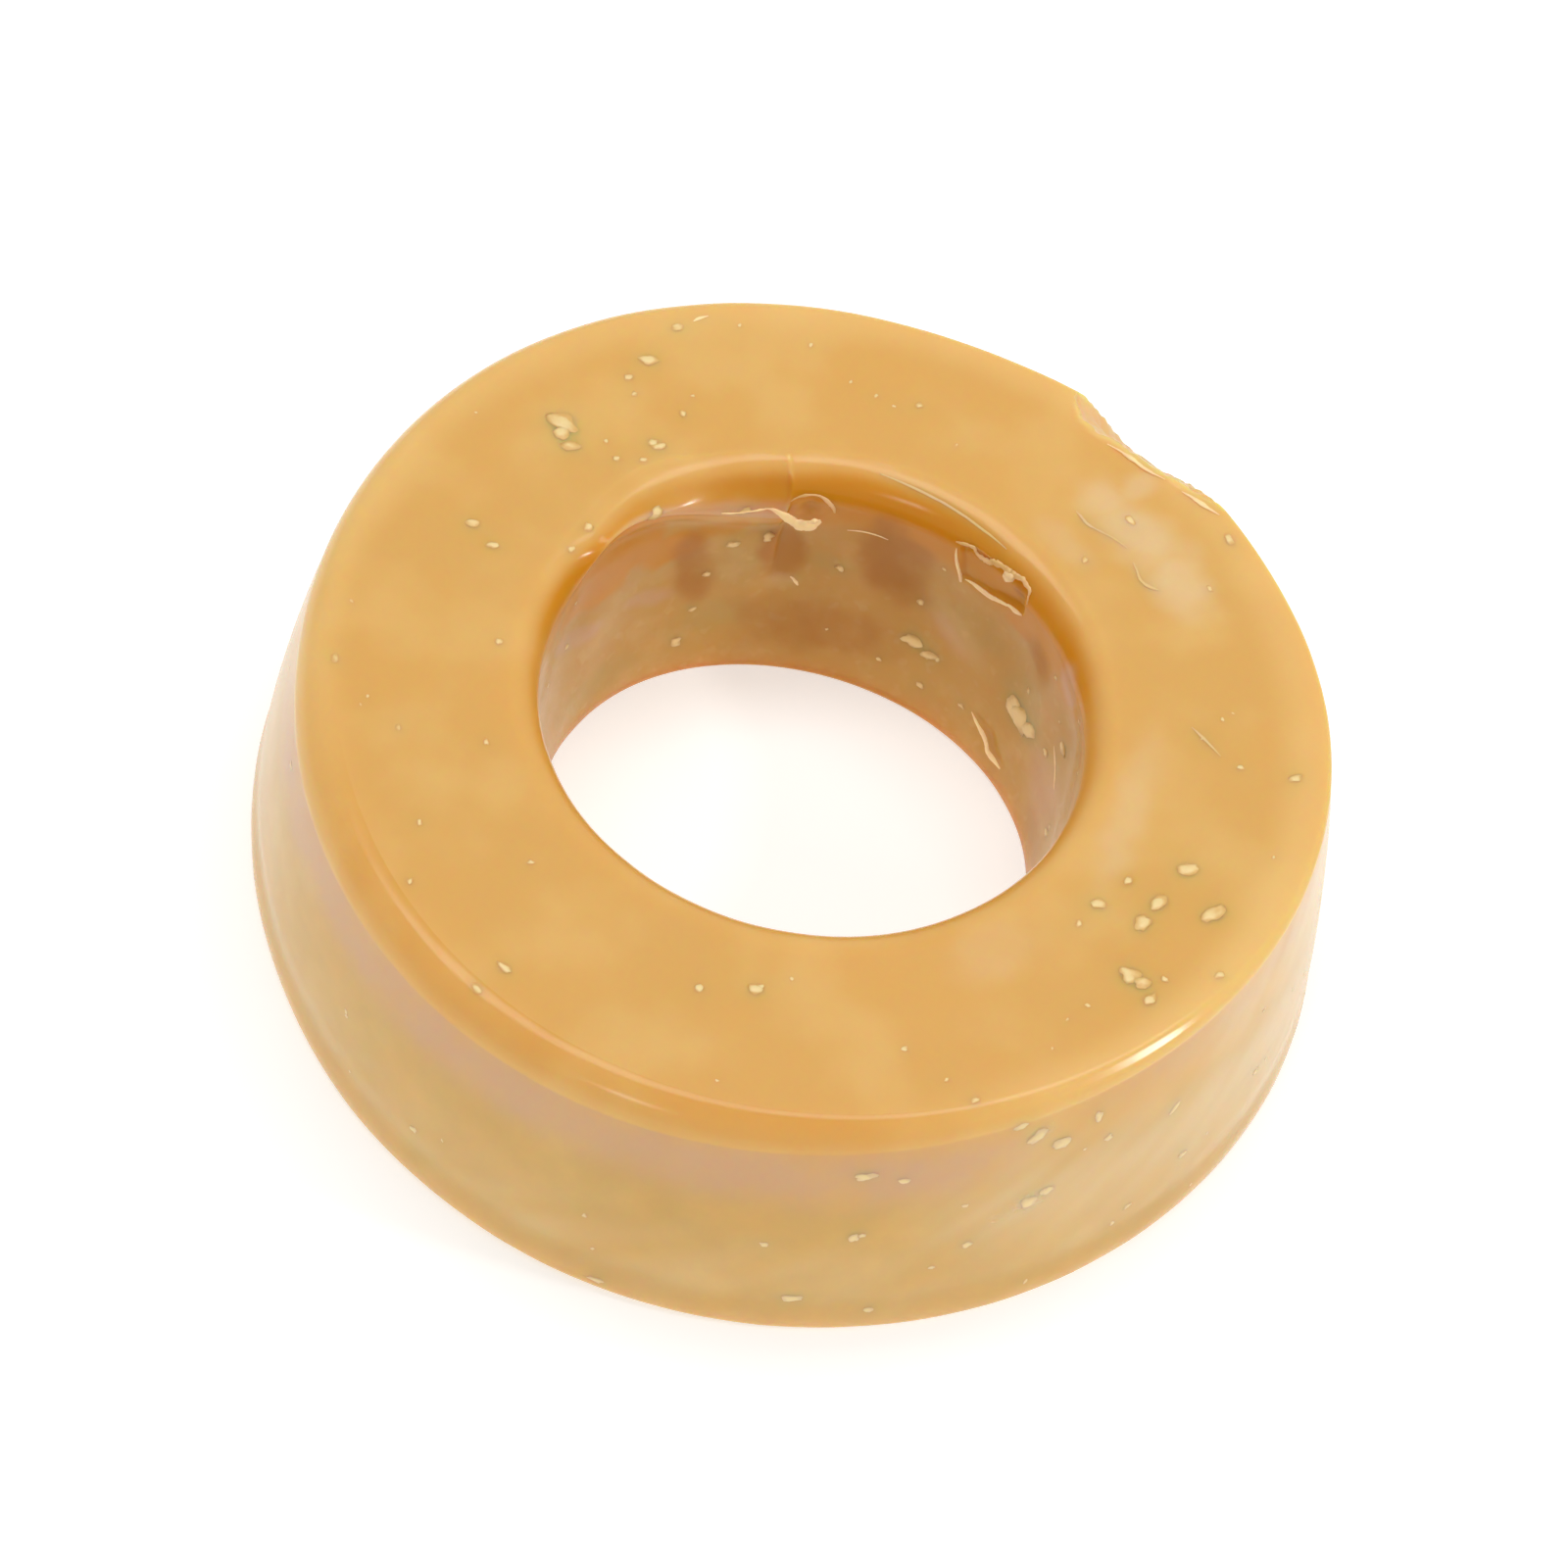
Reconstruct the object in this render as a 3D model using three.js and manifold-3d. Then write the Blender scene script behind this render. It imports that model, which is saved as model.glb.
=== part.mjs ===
// A urinal wax ring: one block of soft wax moulded around a round bore, wider at its base than at
// its top, with a slumped and torn bore rim, a chip in the bore and a gouge in the outer edge.
// Millimetres, +Z up the bore. The base lies on z = 0 and the ring's box is centred on the Z axis.
// Angles are in degrees, counter-clockwise from +X when the ring is seen from above.

import * as THREE from 'three';
import { mergeVertices } from 'three/addons/utils/BufferGeometryUtils.js';
import Module from 'manifold-3d';

const { clamp, degToRad, lerp, smoothstep } = THREE.MathUtils;

// The two faces: how far apart they are, and their outer and bore radii
const HEIGHT = 27.1;
const TOP_RADIUS = 47.35;
const BASE_RADIUS = 50.8;
const BORE_TOP_RADIUS = 25.2;
const BORE_BASE_RADIUS = 23.8;

// The outer wall swells between the faces, and the bore's wall is hollowed like a barrel
const WALL_SWELL = 0.5;
const BORE_HOLLOW = 1.0;

// Edge rounds: the outer top edge is rounded most on one side and almost sharp on the other
const TOP_EDGE_ROUND_MIN = 0.3;
const TOP_EDGE_ROUND_MAX = 3.5;
const TOP_EDGE_ROUND_ANGLE = 218;
const BASE_EDGE_ROUND = 0.8;
const BORE_RIM_ROUND = 3.3;
const BORE_FOOT_ROUND = 0.4;

// Each rim is out of round by a few tenths: one lobe moves it aside, two make it oval,
// and three make it slightly three-cornered
const TOP_WAVES = [
  { lobes: 3, height: 0.71, angle: 8 },
];
const BASE_WAVES = [
  { lobes: 1, height: 0.47, angle: -8 },
  { lobes: 2, height: 0.70, angle: -29 },
  { lobes: 3, height: 0.60, angle: 17 },
];
const BORE_TOP_WAVES = [
  { lobes: 1, height: 0.27, angle: 40 },
  { lobes: 2, height: 0.10, angle: 11 },
];
const BORE_BASE_WAVES = [
  { lobes: 1, height: 0.43, angle: 11 },
  { lobes: 2, height: 0.26, angle: -45 },
  { lobes: 3, height: 0.36, angle: 29 },
];

// Lumps in the bore's wall, deepest at this depth under the top
const LUMP_HEIGHT = 0.55;
const LUMP_COUNT = 13;
const LUMP_ANGLE = 102;
const LUMP_DEPTH = 8;
const LUMP_SPREAD = 7;

// The slumped stretch of the bore's rim: a shelf that sags more and more towards a seam, where it
// stops short, with a lip that hangs over a hollow
const SLUMP_SEAM_ANGLE = 105.5;
const SLUMP_SEAM_WIDTH = 2.5;
const SLUMP_END_ANGLE = 164;
const SLUMP_FADE = 14;
const SLUMP_DROP_SHALLOW = 0.7;
const SLUMP_DROP_DEEP = 5.2;
const SLUMP_LIP_REACH = 0.4;
const SLUMP_UNDERCUT = 1.1;
const SLUMP_UNDERCUT_DEPTH = 2.6;

// The flap of wax that hangs from the rim beside the seam
const FLAP_ANGLE = 101.5;
const FLAP_DEPTH = 5.8;
const FLAP_LENGTH = 5.4;
const FLAP_WIDTH = 2.0;
const FLAP_REACH = 0.9;
const FLAP_TILT = 32;

// The chip that is missing from the bore's wall
const CHIP_ANGLE = 56;
const CHIP_DEPTH = 3.6;
const CHIP_LENGTH = 8.6;
const CHIP_WIDTH = 4.2;
const CHIP_BITE = 1.2;
const CHIP_TILT = 13;

// The gouge in the outer top edge: how far it runs along the edge, how far it cuts into the top
// face and down the wall, how deep its slanting face is hollowed, and how far and how widely the
// wax around it was pushed out
const GOUGE_ANGLE = 57.5;
const GOUGE_LENGTH = 15.5;
const GOUGE_INTO_TOP = 3.2;
const GOUGE_DOWN_WALL = 2.3;
const GOUGE_HOLLOW = 0.35;
const GOUGE_PUSH = 0.8;
const GOUGE_PUSH_SPREAD = 17;

// Steps around the ring and along each stretch of its section
const STEPS_AROUND = 144;
const FACE_STEPS = 3;
const EDGE_STEPS = 3;
const WALL_STEPS = 6;
const RIM_STEPS = 6;
const BORE_STEPS = 9;
const FOOT_STEPS = 1;

// Out-of-round height of a rim at an angle
function waveHeight(waves, angle) {
  let height = 0;
  for (const wave of waves) {
    height += wave.height * Math.cos(wave.lobes * degToRad(angle - wave.angle));
  }
  return height;
}

// Radius of the outer wall at an angle and a height
function outerRadius(angle, z) {
  const rise = z / HEIGHT;
  const base = BASE_RADIUS + waveHeight(BASE_WAVES, angle);
  const push = GOUGE_PUSH * Math.exp(-(((angle - GOUGE_ANGLE) / GOUGE_PUSH_SPREAD) ** 2));
  const top = TOP_RADIUS + waveHeight(TOP_WAVES, angle) + push;
  return lerp(base, top, rise) + WALL_SWELL * 4 * rise * (1 - rise);
}

// Round of the outer top edge at an angle
function topEdgeRound(angle) {
  const share = 0.5 + 0.5 * Math.cos(degToRad(angle - TOP_EDGE_ROUND_ANGLE));
  return lerp(TOP_EDGE_ROUND_MIN, TOP_EDGE_ROUND_MAX, share);
}

// How fully the bore's rim has slumped at an angle, from 0 to 1
function slumpShare(angle) {
  const seamHalf = SLUMP_SEAM_WIDTH / 2;
  const begun = smoothstep(angle, SLUMP_SEAM_ANGLE - seamHalf, SLUMP_SEAM_ANGLE + seamHalf);
  const ended = smoothstep(angle, SLUMP_END_ANGLE - SLUMP_FADE, SLUMP_END_ANGLE);
  return begun * (1 - ended);
}

// Height of the rim's lip under the top: the round's own height, or the shelf's sag in the slump
function rimDrop(angle) {
  const sag = 1 - smoothstep(angle, SLUMP_SEAM_ANGLE, SLUMP_END_ANGLE - SLUMP_FADE);
  const shelfDrop = lerp(SLUMP_DROP_SHALLOW, SLUMP_DROP_DEEP, sag);
  return lerp(BORE_RIM_ROUND, shelfDrop, slumpShare(angle));
}

// Radius of the bore under the rim, at an angle and a height
function boreRadius(angle, z) {
  const base = BORE_BASE_RADIUS + waveHeight(BORE_BASE_WAVES, angle);
  const top = BORE_TOP_RADIUS + waveHeight(BORE_TOP_WAVES, angle) - SLUMP_LIP_REACH * slumpShare(angle);
  const lipZ = HEIGHT - rimDrop(angle);
  const down = clamp((lipZ - z) / (lipZ - BORE_FOOT_ROUND), 0, 1);
  const hollow = BORE_HOLLOW * Math.sin(Math.PI * down ** 0.7);
  const lumpFall = Math.exp(-(((HEIGHT - z - LUMP_DEPTH) / LUMP_SPREAD) ** 2));
  const lump = LUMP_HEIGHT * Math.cos(LUMP_COUNT * degToRad(angle - LUMP_ANGLE)) * lumpFall;
  const undercutFall = Math.exp(-(((lipZ - z - SLUMP_UNDERCUT_DEPTH) / (SLUMP_UNDERCUT_DEPTH / 2)) ** 2));
  const undercut = SLUMP_UNDERCUT * slumpShare(angle) * undercutFall;
  const held = Math.sin(Math.PI * down);
  return lerp(top, base, down) + hollow + lump * held + undercut * Math.min(1, down * BORE_STEPS);
}

// Adds the points of a stretch of the section, after its first point, as evenly spaced steps
function addStretch(section, steps, pointAt) {
  for (let step = 1; step <= steps; step += 1) {
    section.push(pointAt(step / steps));
  }
}

// A point on a quarter round or oval about a centre, its angle given in degrees
function ovalPoint(centreR, centreZ, reachR, reachZ, angle) {
  const turn = degToRad(angle);
  return new THREE.Vector2(centreR + reachR * Math.cos(turn), centreZ + reachZ * Math.sin(turn));
}

// The ring's closed section at an angle: base, outer wall, top and bore, in that order
function sectionAt(angle) {
  const footR = boreRadius(angle, BORE_FOOT_ROUND);
  const baseInnerR = footR + BORE_FOOT_ROUND;
  const baseOuterR = outerRadius(angle, BASE_EDGE_ROUND) - BASE_EDGE_ROUND;
  const topRound = topEdgeRound(angle);
  const topRoundZ = HEIGHT - topRound;
  const topOuterR = outerRadius(angle, topRoundZ) - topRound;
  const lipDrop = rimDrop(angle);
  const lipZ = HEIGHT - lipDrop;
  const lipR = boreRadius(angle, lipZ);
  const topInnerR = lipR + BORE_RIM_ROUND;

  const section = [new THREE.Vector2(baseInnerR, 0)];
  addStretch(section, FACE_STEPS, (t) => new THREE.Vector2(lerp(baseInnerR, baseOuterR, t), 0));
  addStretch(section, EDGE_STEPS, (t) => (
    ovalPoint(baseOuterR, BASE_EDGE_ROUND, BASE_EDGE_ROUND, BASE_EDGE_ROUND, -90 + 90 * t)));
  addStretch(section, WALL_STEPS, (t) => {
    const z = lerp(BASE_EDGE_ROUND, topRoundZ, t);
    return new THREE.Vector2(outerRadius(angle, z), z);
  });
  addStretch(section, EDGE_STEPS, (t) => ovalPoint(topOuterR, topRoundZ, topRound, topRound, 90 * t));
  addStretch(section, FACE_STEPS, (t) => new THREE.Vector2(lerp(topOuterR, topInnerR, t), HEIGHT));
  addStretch(section, RIM_STEPS, (t) => (
    ovalPoint(topInnerR, lipZ, BORE_RIM_ROUND, lipDrop, 90 + 90 * t)));
  addStretch(section, BORE_STEPS, (t) => {
    const z = lerp(lipZ, BORE_FOOT_ROUND, t);
    return new THREE.Vector2(boreRadius(angle, z), z);
  });
  addStretch(section, FOOT_STEPS, (t) => (
    ovalPoint(baseInnerR, BORE_FOOT_ROUND, BORE_FOOT_ROUND, BORE_FOOT_ROUND, 180 + 90 * t)));
  return section;
}

// The block: a lathe-turned ring, whose section at each angle then takes its own shape
function blockGeometry() {
  const geometry = new THREE.LatheGeometry(sectionAt(0), STEPS_AROUND);
  const position = geometry.attributes.position;
  for (let turn = 0; turn <= STEPS_AROUND; turn += 1) {
    const angle = (360 * (turn % STEPS_AROUND)) / STEPS_AROUND;
    const section = sectionAt(angle);
    section.forEach((point, index) => {
      const x = point.x * Math.cos(degToRad(angle));
      const y = point.x * Math.sin(degToRad(angle));
      position.setXYZ(turn * section.length + index, x, y, point.y);
    });
  }
  return geometry;
}

// An oval lump whose three reaches run along the ring's edge, up and outwards, tilted about the
// outward direction and placed at an angle, a radius and a height
function ovalLump(reaches, tilt, angle, radius, z) {
  const geometry = new THREE.SphereGeometry(1, 28, 18);
  geometry.scale(reaches.along, reaches.up, reaches.out);
  geometry.rotateZ(degToRad(tilt));
  geometry.rotateX(Math.PI / 2);
  geometry.rotateZ(Math.PI + degToRad(angle - 90));
  geometry.translate(radius * Math.cos(degToRad(angle)), radius * Math.sin(degToRad(angle)), z);
  return geometry;
}

function flapGeometry() {
  const z = HEIGHT - FLAP_DEPTH;
  const reaches = { along: FLAP_LENGTH / 2, up: FLAP_WIDTH / 2, out: FLAP_REACH };
  return ovalLump(reaches, FLAP_TILT, FLAP_ANGLE, boreRadius(FLAP_ANGLE, z), z);
}

function chipGeometry() {
  const z = HEIGHT - BORE_RIM_ROUND / 2 - CHIP_DEPTH / 2;
  const reaches = { along: CHIP_LENGTH / 2, up: CHIP_WIDTH / 2, out: CHIP_BITE };
  return ovalLump(reaches, CHIP_TILT, CHIP_ANGLE, boreRadius(CHIP_ANGLE, z), z);
}

// The gouge is cut by an oval. Its round section passes through the ends of the slanting face, on
// the top and on the wall, and it is stretched along the edge until it leaves it at both ends.
function gougeGeometry() {
  const edgeR = outerRadius(GOUGE_ANGLE, HEIGHT);
  const slantLength = Math.hypot(GOUGE_INTO_TOP, GOUGE_DOWN_WALL);
  const reach = slantLength ** 2 / (8 * GOUGE_HOLLOW) + GOUGE_HOLLOW / 2;
  const standOff = reach - GOUGE_HOLLOW;
  const centreOut = (standOff * GOUGE_DOWN_WALL) / slantLength - GOUGE_INTO_TOP / 2;
  const centreUp = (standOff * GOUGE_INTO_TOP) / slantLength - GOUGE_DOWN_WALL / 2;
  const cornerShare = Math.hypot(centreOut, centreUp) / reach;
  const along = GOUGE_LENGTH / 2 / Math.sqrt(1 - cornerShare ** 2);
  return ovalLump({ along, up: reach, out: reach }, 0, GOUGE_ANGLE, edgeR + centreOut, HEIGHT + centreUp);
}

const wasm = await Module();
wasm.setup();

// A closed geometry as a solid that can be joined and cut
function solidFrom(geometry) {
  const bare = geometry.clone();
  bare.deleteAttribute('normal');
  bare.deleteAttribute('uv');
  const merged = mergeVertices(bare);
  return new wasm.Manifold(new wasm.Mesh({
    numProp: 3,
    vertProperties: new Float32Array(merged.attributes.position.array),
    triVerts: new Uint32Array(merged.index.array),
  }));
}

// A solid as a geometry, stood on z = 0 with its box centred on the Z axis
function centredGeometry(solid) {
  const mesh = solid.getMesh();
  const geometry = new THREE.BufferGeometry();
  geometry.setAttribute('position', new THREE.BufferAttribute(mesh.vertProperties, 3));
  geometry.setIndex(new THREE.BufferAttribute(mesh.triVerts, 1));
  geometry.computeBoundingBox();
  const box = geometry.boundingBox;
  const centre = box.getCenter(new THREE.Vector3());
  geometry.translate(-centre.x, -centre.y, -box.min.z);
  geometry.computeVertexNormals();
  return geometry;
}

const waxSolid = solidFrom(blockGeometry())
  .add(solidFrom(flapGeometry()))
  .subtract(solidFrom(chipGeometry()))
  .subtract(solidFrom(gougeGeometry()));

const wax = new THREE.MeshStandardMaterial({ color: 0xd9a55f, roughness: 0.45, metalness: 0 });
const waxRing = new THREE.Mesh(centredGeometry(waxSolid), wax);
waxRing.name = 'wax_ring';

const part = new THREE.Group();
part.add(waxRing);

export default part;
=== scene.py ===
"""Dresses a urinal wax ring: amber wax with a slumped bore rim, a torn flap, a chip, a gouge and crumbs.

Lengths are in metres unless a name says millimetres, +Z runs up the bore, and angles are in degrees,
counter-clockwise from +X when the ring is seen from above.
"""

import math

import bmesh
import bpy
import numpy as np
from mathutils import Matrix, Vector, noise
from mathutils.bvhtree import BVHTree


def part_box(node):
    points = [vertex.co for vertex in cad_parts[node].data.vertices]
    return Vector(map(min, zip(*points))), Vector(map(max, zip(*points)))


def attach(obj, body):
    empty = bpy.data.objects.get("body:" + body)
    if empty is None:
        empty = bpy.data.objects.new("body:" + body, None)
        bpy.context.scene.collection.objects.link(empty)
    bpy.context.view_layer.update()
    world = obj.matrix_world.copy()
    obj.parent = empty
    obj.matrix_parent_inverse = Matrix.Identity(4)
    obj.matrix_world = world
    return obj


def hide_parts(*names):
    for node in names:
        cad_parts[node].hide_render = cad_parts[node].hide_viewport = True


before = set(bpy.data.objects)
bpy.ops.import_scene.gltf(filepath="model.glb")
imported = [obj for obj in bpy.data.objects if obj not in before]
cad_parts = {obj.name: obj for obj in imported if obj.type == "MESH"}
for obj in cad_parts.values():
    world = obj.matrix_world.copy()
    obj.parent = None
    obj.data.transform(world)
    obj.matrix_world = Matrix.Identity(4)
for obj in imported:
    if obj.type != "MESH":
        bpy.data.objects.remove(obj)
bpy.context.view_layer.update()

bl_info = {
    "name": "Wax ring",
    "version": (1, 0, 0),
    "blender": (4, 5, 0),
    "location": "3D View > Sidebar > Wax ring",
    "description": "Makes a soft wax sealing ring with its damage, its crumbs and a pale stage",
    "category": "Mesh",
}

MM = 0.001
BODY = "root"
RING_NODE = "wax_ring"
RING_PIECE = "wax_ring_body"
RING_LOW, RING_HIGH = (Vector(corner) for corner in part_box(RING_NODE))

# Out-of-round waves of each rim, in millimetres and degrees: lobes, height and the angle of a crest
TOP_WAVES = [(3, 0.71, 8)]
BASE_WAVES = [(1, 0.47, -8), (2, 0.70, -29), (3, 0.60, 17)]
BORE_TOP_WAVES = [(1, 0.27, 40), (2, 0.10, 11)]
BORE_BASE_WAVES = [(1, 0.43, 11), (2, 0.26, -45), (3, 0.36, 29)]

# Stretches around the ring, in degrees: start, end and spacing, finest at the gouge
ANGLE_STRETCHES = [(30, 45, 0.4), (45, 70, 0.25), (70, 112, 0.35), (112, 172, 0.5), (172, 390, 1.25)]

# How much closer together the section's points are towards the rims: on both walls, and on the top face
CROWDING = 1.25
TOP_CROWDING = 0.1

# Spacing in degrees of the sections that the ring's box is measured on
BOX_SPACING = 2.5


def length_setting(name, description, millimetres):
    """A length that the panel shows"""
    return bpy.props.FloatProperty(
        name=name, description=description, default=millimetres * MM, unit="LENGTH")


def colour_setting(name, description, value):
    """A colour that the panel shows"""
    return bpy.props.FloatVectorProperty(
        name=name, description=description, default=value, subtype="COLOR")


def number_setting(name, description, value, subtype="NONE"):
    """A number or an angle that the panel shows"""
    return bpy.props.FloatProperty(name=name, description=description, default=value, subtype=subtype)


class RingSizes(bpy.types.PropertyGroup):
    """Sizes of the undamaged ring"""

    top_radius: length_setting("Top radius", "Outer radius at the top face", 47.35)
    base_radius: length_setting("Base radius", "Outer radius at the base", 50.8)
    bore_top_radius: length_setting("Bore radius at the top", "Bore radius under the rim", 25.2)
    bore_base_radius: length_setting("Bore radius at the base", "Bore radius at the foot", 23.8)
    wall_swell: length_setting("Wall swell", "How far the outer wall bows out", 0.5)
    bore_hollow: length_setting("Bore hollow", "How far the bore's wall is hollowed", 1.0)
    edge_round_min: length_setting("Sharpest top edge", "Smallest round of the outer top edge", 0.3)
    edge_round_max: length_setting("Softest top edge", "Largest round of the outer top edge", 3.5)
    edge_round_angle: number_setting(
        "Soft edge angle", "Where the outer top edge is softest, in degrees", 218)
    base_edge_round: length_setting("Base edge round", "Round of the base's outer edge", 0.8)
    rim_round: length_setting("Bore rim round", "Round of the bore's top rim", 3.3)
    foot_round: length_setting("Bore foot round", "Round of the bore's lower edge", 0.4)
    lump_height: length_setting("Lump height", "Height of the lumps in the bore's wall", 0.55)


class RingDamage(bpy.types.PropertyGroup):
    """Sizes of the slump, the chip and the gouge"""

    seam_angle: number_setting("Seam angle", "Where the slumped rim stops, in degrees", 105.5)
    slump_end_angle: number_setting("Slump end", "Where the slump fades out, in degrees", 164)
    slump_drop: length_setting("Slump drop", "How far the lip hangs at the seam", 5.2)
    slump_undercut: length_setting("Undercut", "How far the wall is hollowed under the lip", 0.4)
    chip_bite: length_setting("Chip bite", "How deep the chip is", 0.6)
    gouge_angle: number_setting("Gouge angle", "Where the gouge in the outer edge is, in degrees", 57.5)
    gouge_depth: number_setting("Gouge depth", "Depth of the gouge as a share of that in the photo", 1.0)


class WaxLook(bpy.types.PropertyGroup):
    """Colours of the wax"""

    wax_colour: colour_setting("Wax", "Colour of clean wax", (0.78, 0.46, 0.135))
    warm_colour: colour_setting("Warm wax", "Colour of the broad warm areas", (0.82, 0.46, 0.125))
    # Besides pale blotches, this colour paints light: a glow near the top's outer edge and at the wall's foot,
    # and highlights along the rim's crease, the seam and the gouge's crest
    pale_colour: colour_setting("Pale edge", "Colour of the wax near its outer edges", (0.88, 0.61, 0.23))
    amber_colour: colour_setting(
        "Deep amber", "Colour where light comes through the wax", (0.70, 0.31, 0.018))
    # Painted shade: the brown stands in for shade in the bore's hollows, under its lip, at the top of the chip
    # and along its foot, and in a thin streak on the wall
    brown_shade_colour: colour_setting("Brown", "Colour in the bore's hollows", (0.50, 0.205, 0.018))
    # Painted shade: the bore darkens from a few millimetres under the rim downwards
    shade_colour: colour_setting("Bore", "Colour of the wax low in the bore", (0.54, 0.305, 0.06))
    olive_colour: colour_setting("Olive", "Colour of the dull greenish areas", (0.56, 0.37, 0.10))
    # Painted sheen: the pinkish colour stands in for pale reflections at grazing angles under the top edge and
    # in the bore, and for the highlight along the slumped lip
    rose_sheen_colour: colour_setting("Rose", "Colour of the pinkish bloom", (0.69, 0.42, 0.265))
    bloom_colour: colour_setting("Bloom", "Colour of scuffed wax", (0.85, 0.57, 0.29))
    dust_colour: colour_setting("Dust", "Colour of the dusty clouds in the bore", (0.72, 0.47, 0.17))
    # Painted sheen and real smears: the milky colour stands in for pale reflections at grazing angles on the
    # walls, the lip and the bore's rim, and also colours the smears on the top face and in the bore
    smear_and_sheen_colour: colour_setting("Veil", "Colour of the milky veil on the walls", (0.87, 0.67, 0.40))
    crumb_colour: colour_setting("Crumbs", "Colour of loose crumbs", (0.94, 0.71, 0.33))


class StageLook(bpy.types.PropertyGroup):
    """The floor, the light and the camera"""

    floor_colour: colour_setting("Floor", "Colour of the floor", (0.7, 0.7, 0.7))
    sky_strength: number_setting("Sky strength", "Strength of the light from all round", 0.5)
    lens: number_setting("Lens", "Focal length in millimetres", 116.6)
    elevation: number_setting("Elevation", "Camera angle above the horizon", math.radians(53.13), "ANGLE")
    roll: number_setting("Roll", "Tilt of the camera about its line of sight", math.radians(13.68), "ANGLE")
    distance: bpy.props.FloatProperty(
        name="Distance", description="Camera distance from its aim", default=0.4759, unit="LENGTH")
    aim: bpy.props.FloatVectorProperty(
        name="Aim", description="Point that the camera looks at", default=(-0.0017, 0.0011, 0.012),
        subtype="TRANSLATION")


class Maths:
    """A shader socket that can stand in a Python sum."""

    def __init__(self, shader, socket):
        self.shader = shader
        self.socket = socket

    def _math(self, operation, *values):
        return self.shader.add("ShaderNodeMath", {"operation": operation}, dict(enumerate(values)))

    def __add__(self, other):
        return self._math("ADD", self, other)

    __radd__ = __add__

    def __sub__(self, other):
        return self._math("SUBTRACT", self, other)

    def __rsub__(self, other):
        return self._math("SUBTRACT", other, self)

    def __mul__(self, other):
        return self._math("MULTIPLY", self, other)

    __rmul__ = __mul__

    def least(self, other):
        return self._math("MINIMUM", self, other)

    def step(self, low, high):
        """0 below low and 1 above high, with a smooth rise between"""
        return self.shader.add("ShaderNodeMapRange", {"interpolation_type": "SMOOTHSTEP"}, {
            "Value": self, "From Min": low, "From Max": high})


class Shader:
    """A new material and the means to fill it."""

    def __init__(self, name):
        self.material = bpy.data.materials.new(name)
        self.material.use_nodes = True
        self.tree = self.material.node_tree
        self.tree.nodes.clear()
        self.place = self.add("ShaderNodeTexCoord", output="Object")

    def add(self, kind, settings=None, inputs=None, output=0):
        """Adds a node: its type, its settings, its sockets' values or links, and the output wanted"""
        node = self.tree.nodes.new(kind)
        for name, value in (settings or {}).items():
            setattr(node, name, value)
        for key, value in (inputs or {}).items():
            if isinstance(value, Maths):
                self.tree.links.new(value.socket, node.inputs[key])
            else:
                node.inputs[key].default_value = value
        return None if output is None else Maths(self, node.outputs[output])

    def painted(self, name):
        """A value that the mesh carries at each point"""
        return self.add("ShaderNodeAttribute", {"attribute_name": name}, output="Fac")

    def mottle(self, size, detail=3.0, roughness=0.5, offset=0.0):
        """Noise from 0 to 1 whose blotches are about a size across, in metres"""
        place = self.add("ShaderNodeVectorMath", {"operation": "ADD"}, {
            0: self.place, 1: (offset, offset, offset)}, "Vector")
        return self.add("ShaderNodeTexNoise", {}, {
            "Vector": place, "Scale": 1 / size, "Detail": detail, "Roughness": roughness})

    def blend(self, share, first, second):
        """One colour giving way to another as a share rises from 0 to 1"""
        first, second = ((*c, 1) if not isinstance(c, Maths) else c for c in (first, second))
        return self.add("ShaderNodeMix", {"data_type": "RGBA"}, {0: share, 6: first, 7: second}, 2)

    def finish(self, colour, roughness, height, bump_depth, constants):
        """Ends the material in one shader, with a height from 0 to 1 and its depth in metres for the bump"""
        bump = self.add("ShaderNodeBump", {}, {"Height": height, "Distance": bump_depth}, "Normal")
        varying = {"Base Color": colour, "Roughness": roughness, "Normal": bump}
        surface = self.add("ShaderNodeBsdfPrincipled", {}, varying | constants)
        self.add("ShaderNodeOutputMaterial", {}, {"Surface": surface}, None)
        return self.material


def rise(value, low, high):
    """0 below low and 1 above high, with a smooth rise between"""
    share = np.clip((value - low) / (high - low), 0, 1)
    return share * share * (3 - 2 * share)


def bell(value, middle, spread):
    """1 at the middle, falling smoothly to nothing a few spreads away"""
    return np.exp(-(((value - middle) / spread) ** 2))


def mix(first, second, share):
    """The value that lies a share of the way from the first to the second"""
    return first + (second - first) * share


def speckle(points, size, seed=0.0):
    """Noise from about -1 to 1 at each point, with blotches about a size across"""
    offset = Vector((seed, seed, seed))
    return np.array([noise.noise(Vector(point) / size + offset) for point in points])


def wave_height(waves, angle):
    """Out-of-round height of a rim at each angle"""
    return sum(height * MM * np.cos(lobes * np.radians(angle - crest)) for lobes, height, crest in waves)


HEIGHT = RING_HIGH.z - RING_LOW.z

# How much nearer to the top than to the base the bore is hollowest, from 0 to 1
HOLLOW_BIAS = 0.45

# Lumps in the bore's wall: how many go round, where one is hollowest, how deep under the top, and spread
LUMP_COUNT = 13
LUMP_ANGLE = 102
LUMP_DEPTH = 8 * MM
LUMP_SPREAD = 7 * MM

# The slumped shelf: width of its seam and of its fade in degrees, sag of its shallow end, how far its lip
# reaches into the bore, how deep under the lip the wall is hollowest, and how suddenly that hollow starts
SEAM_WIDTH = 1.6
SLUMP_FADE = 14
SLUMP_DROP_SHALLOW = 0.7 * MM
SLUMP_LIP_REACH = 0.4 * MM
SLUMP_UNDERCUT_DEPTH = 2.6 * MM
UNDERCUT_START = 12

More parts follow.
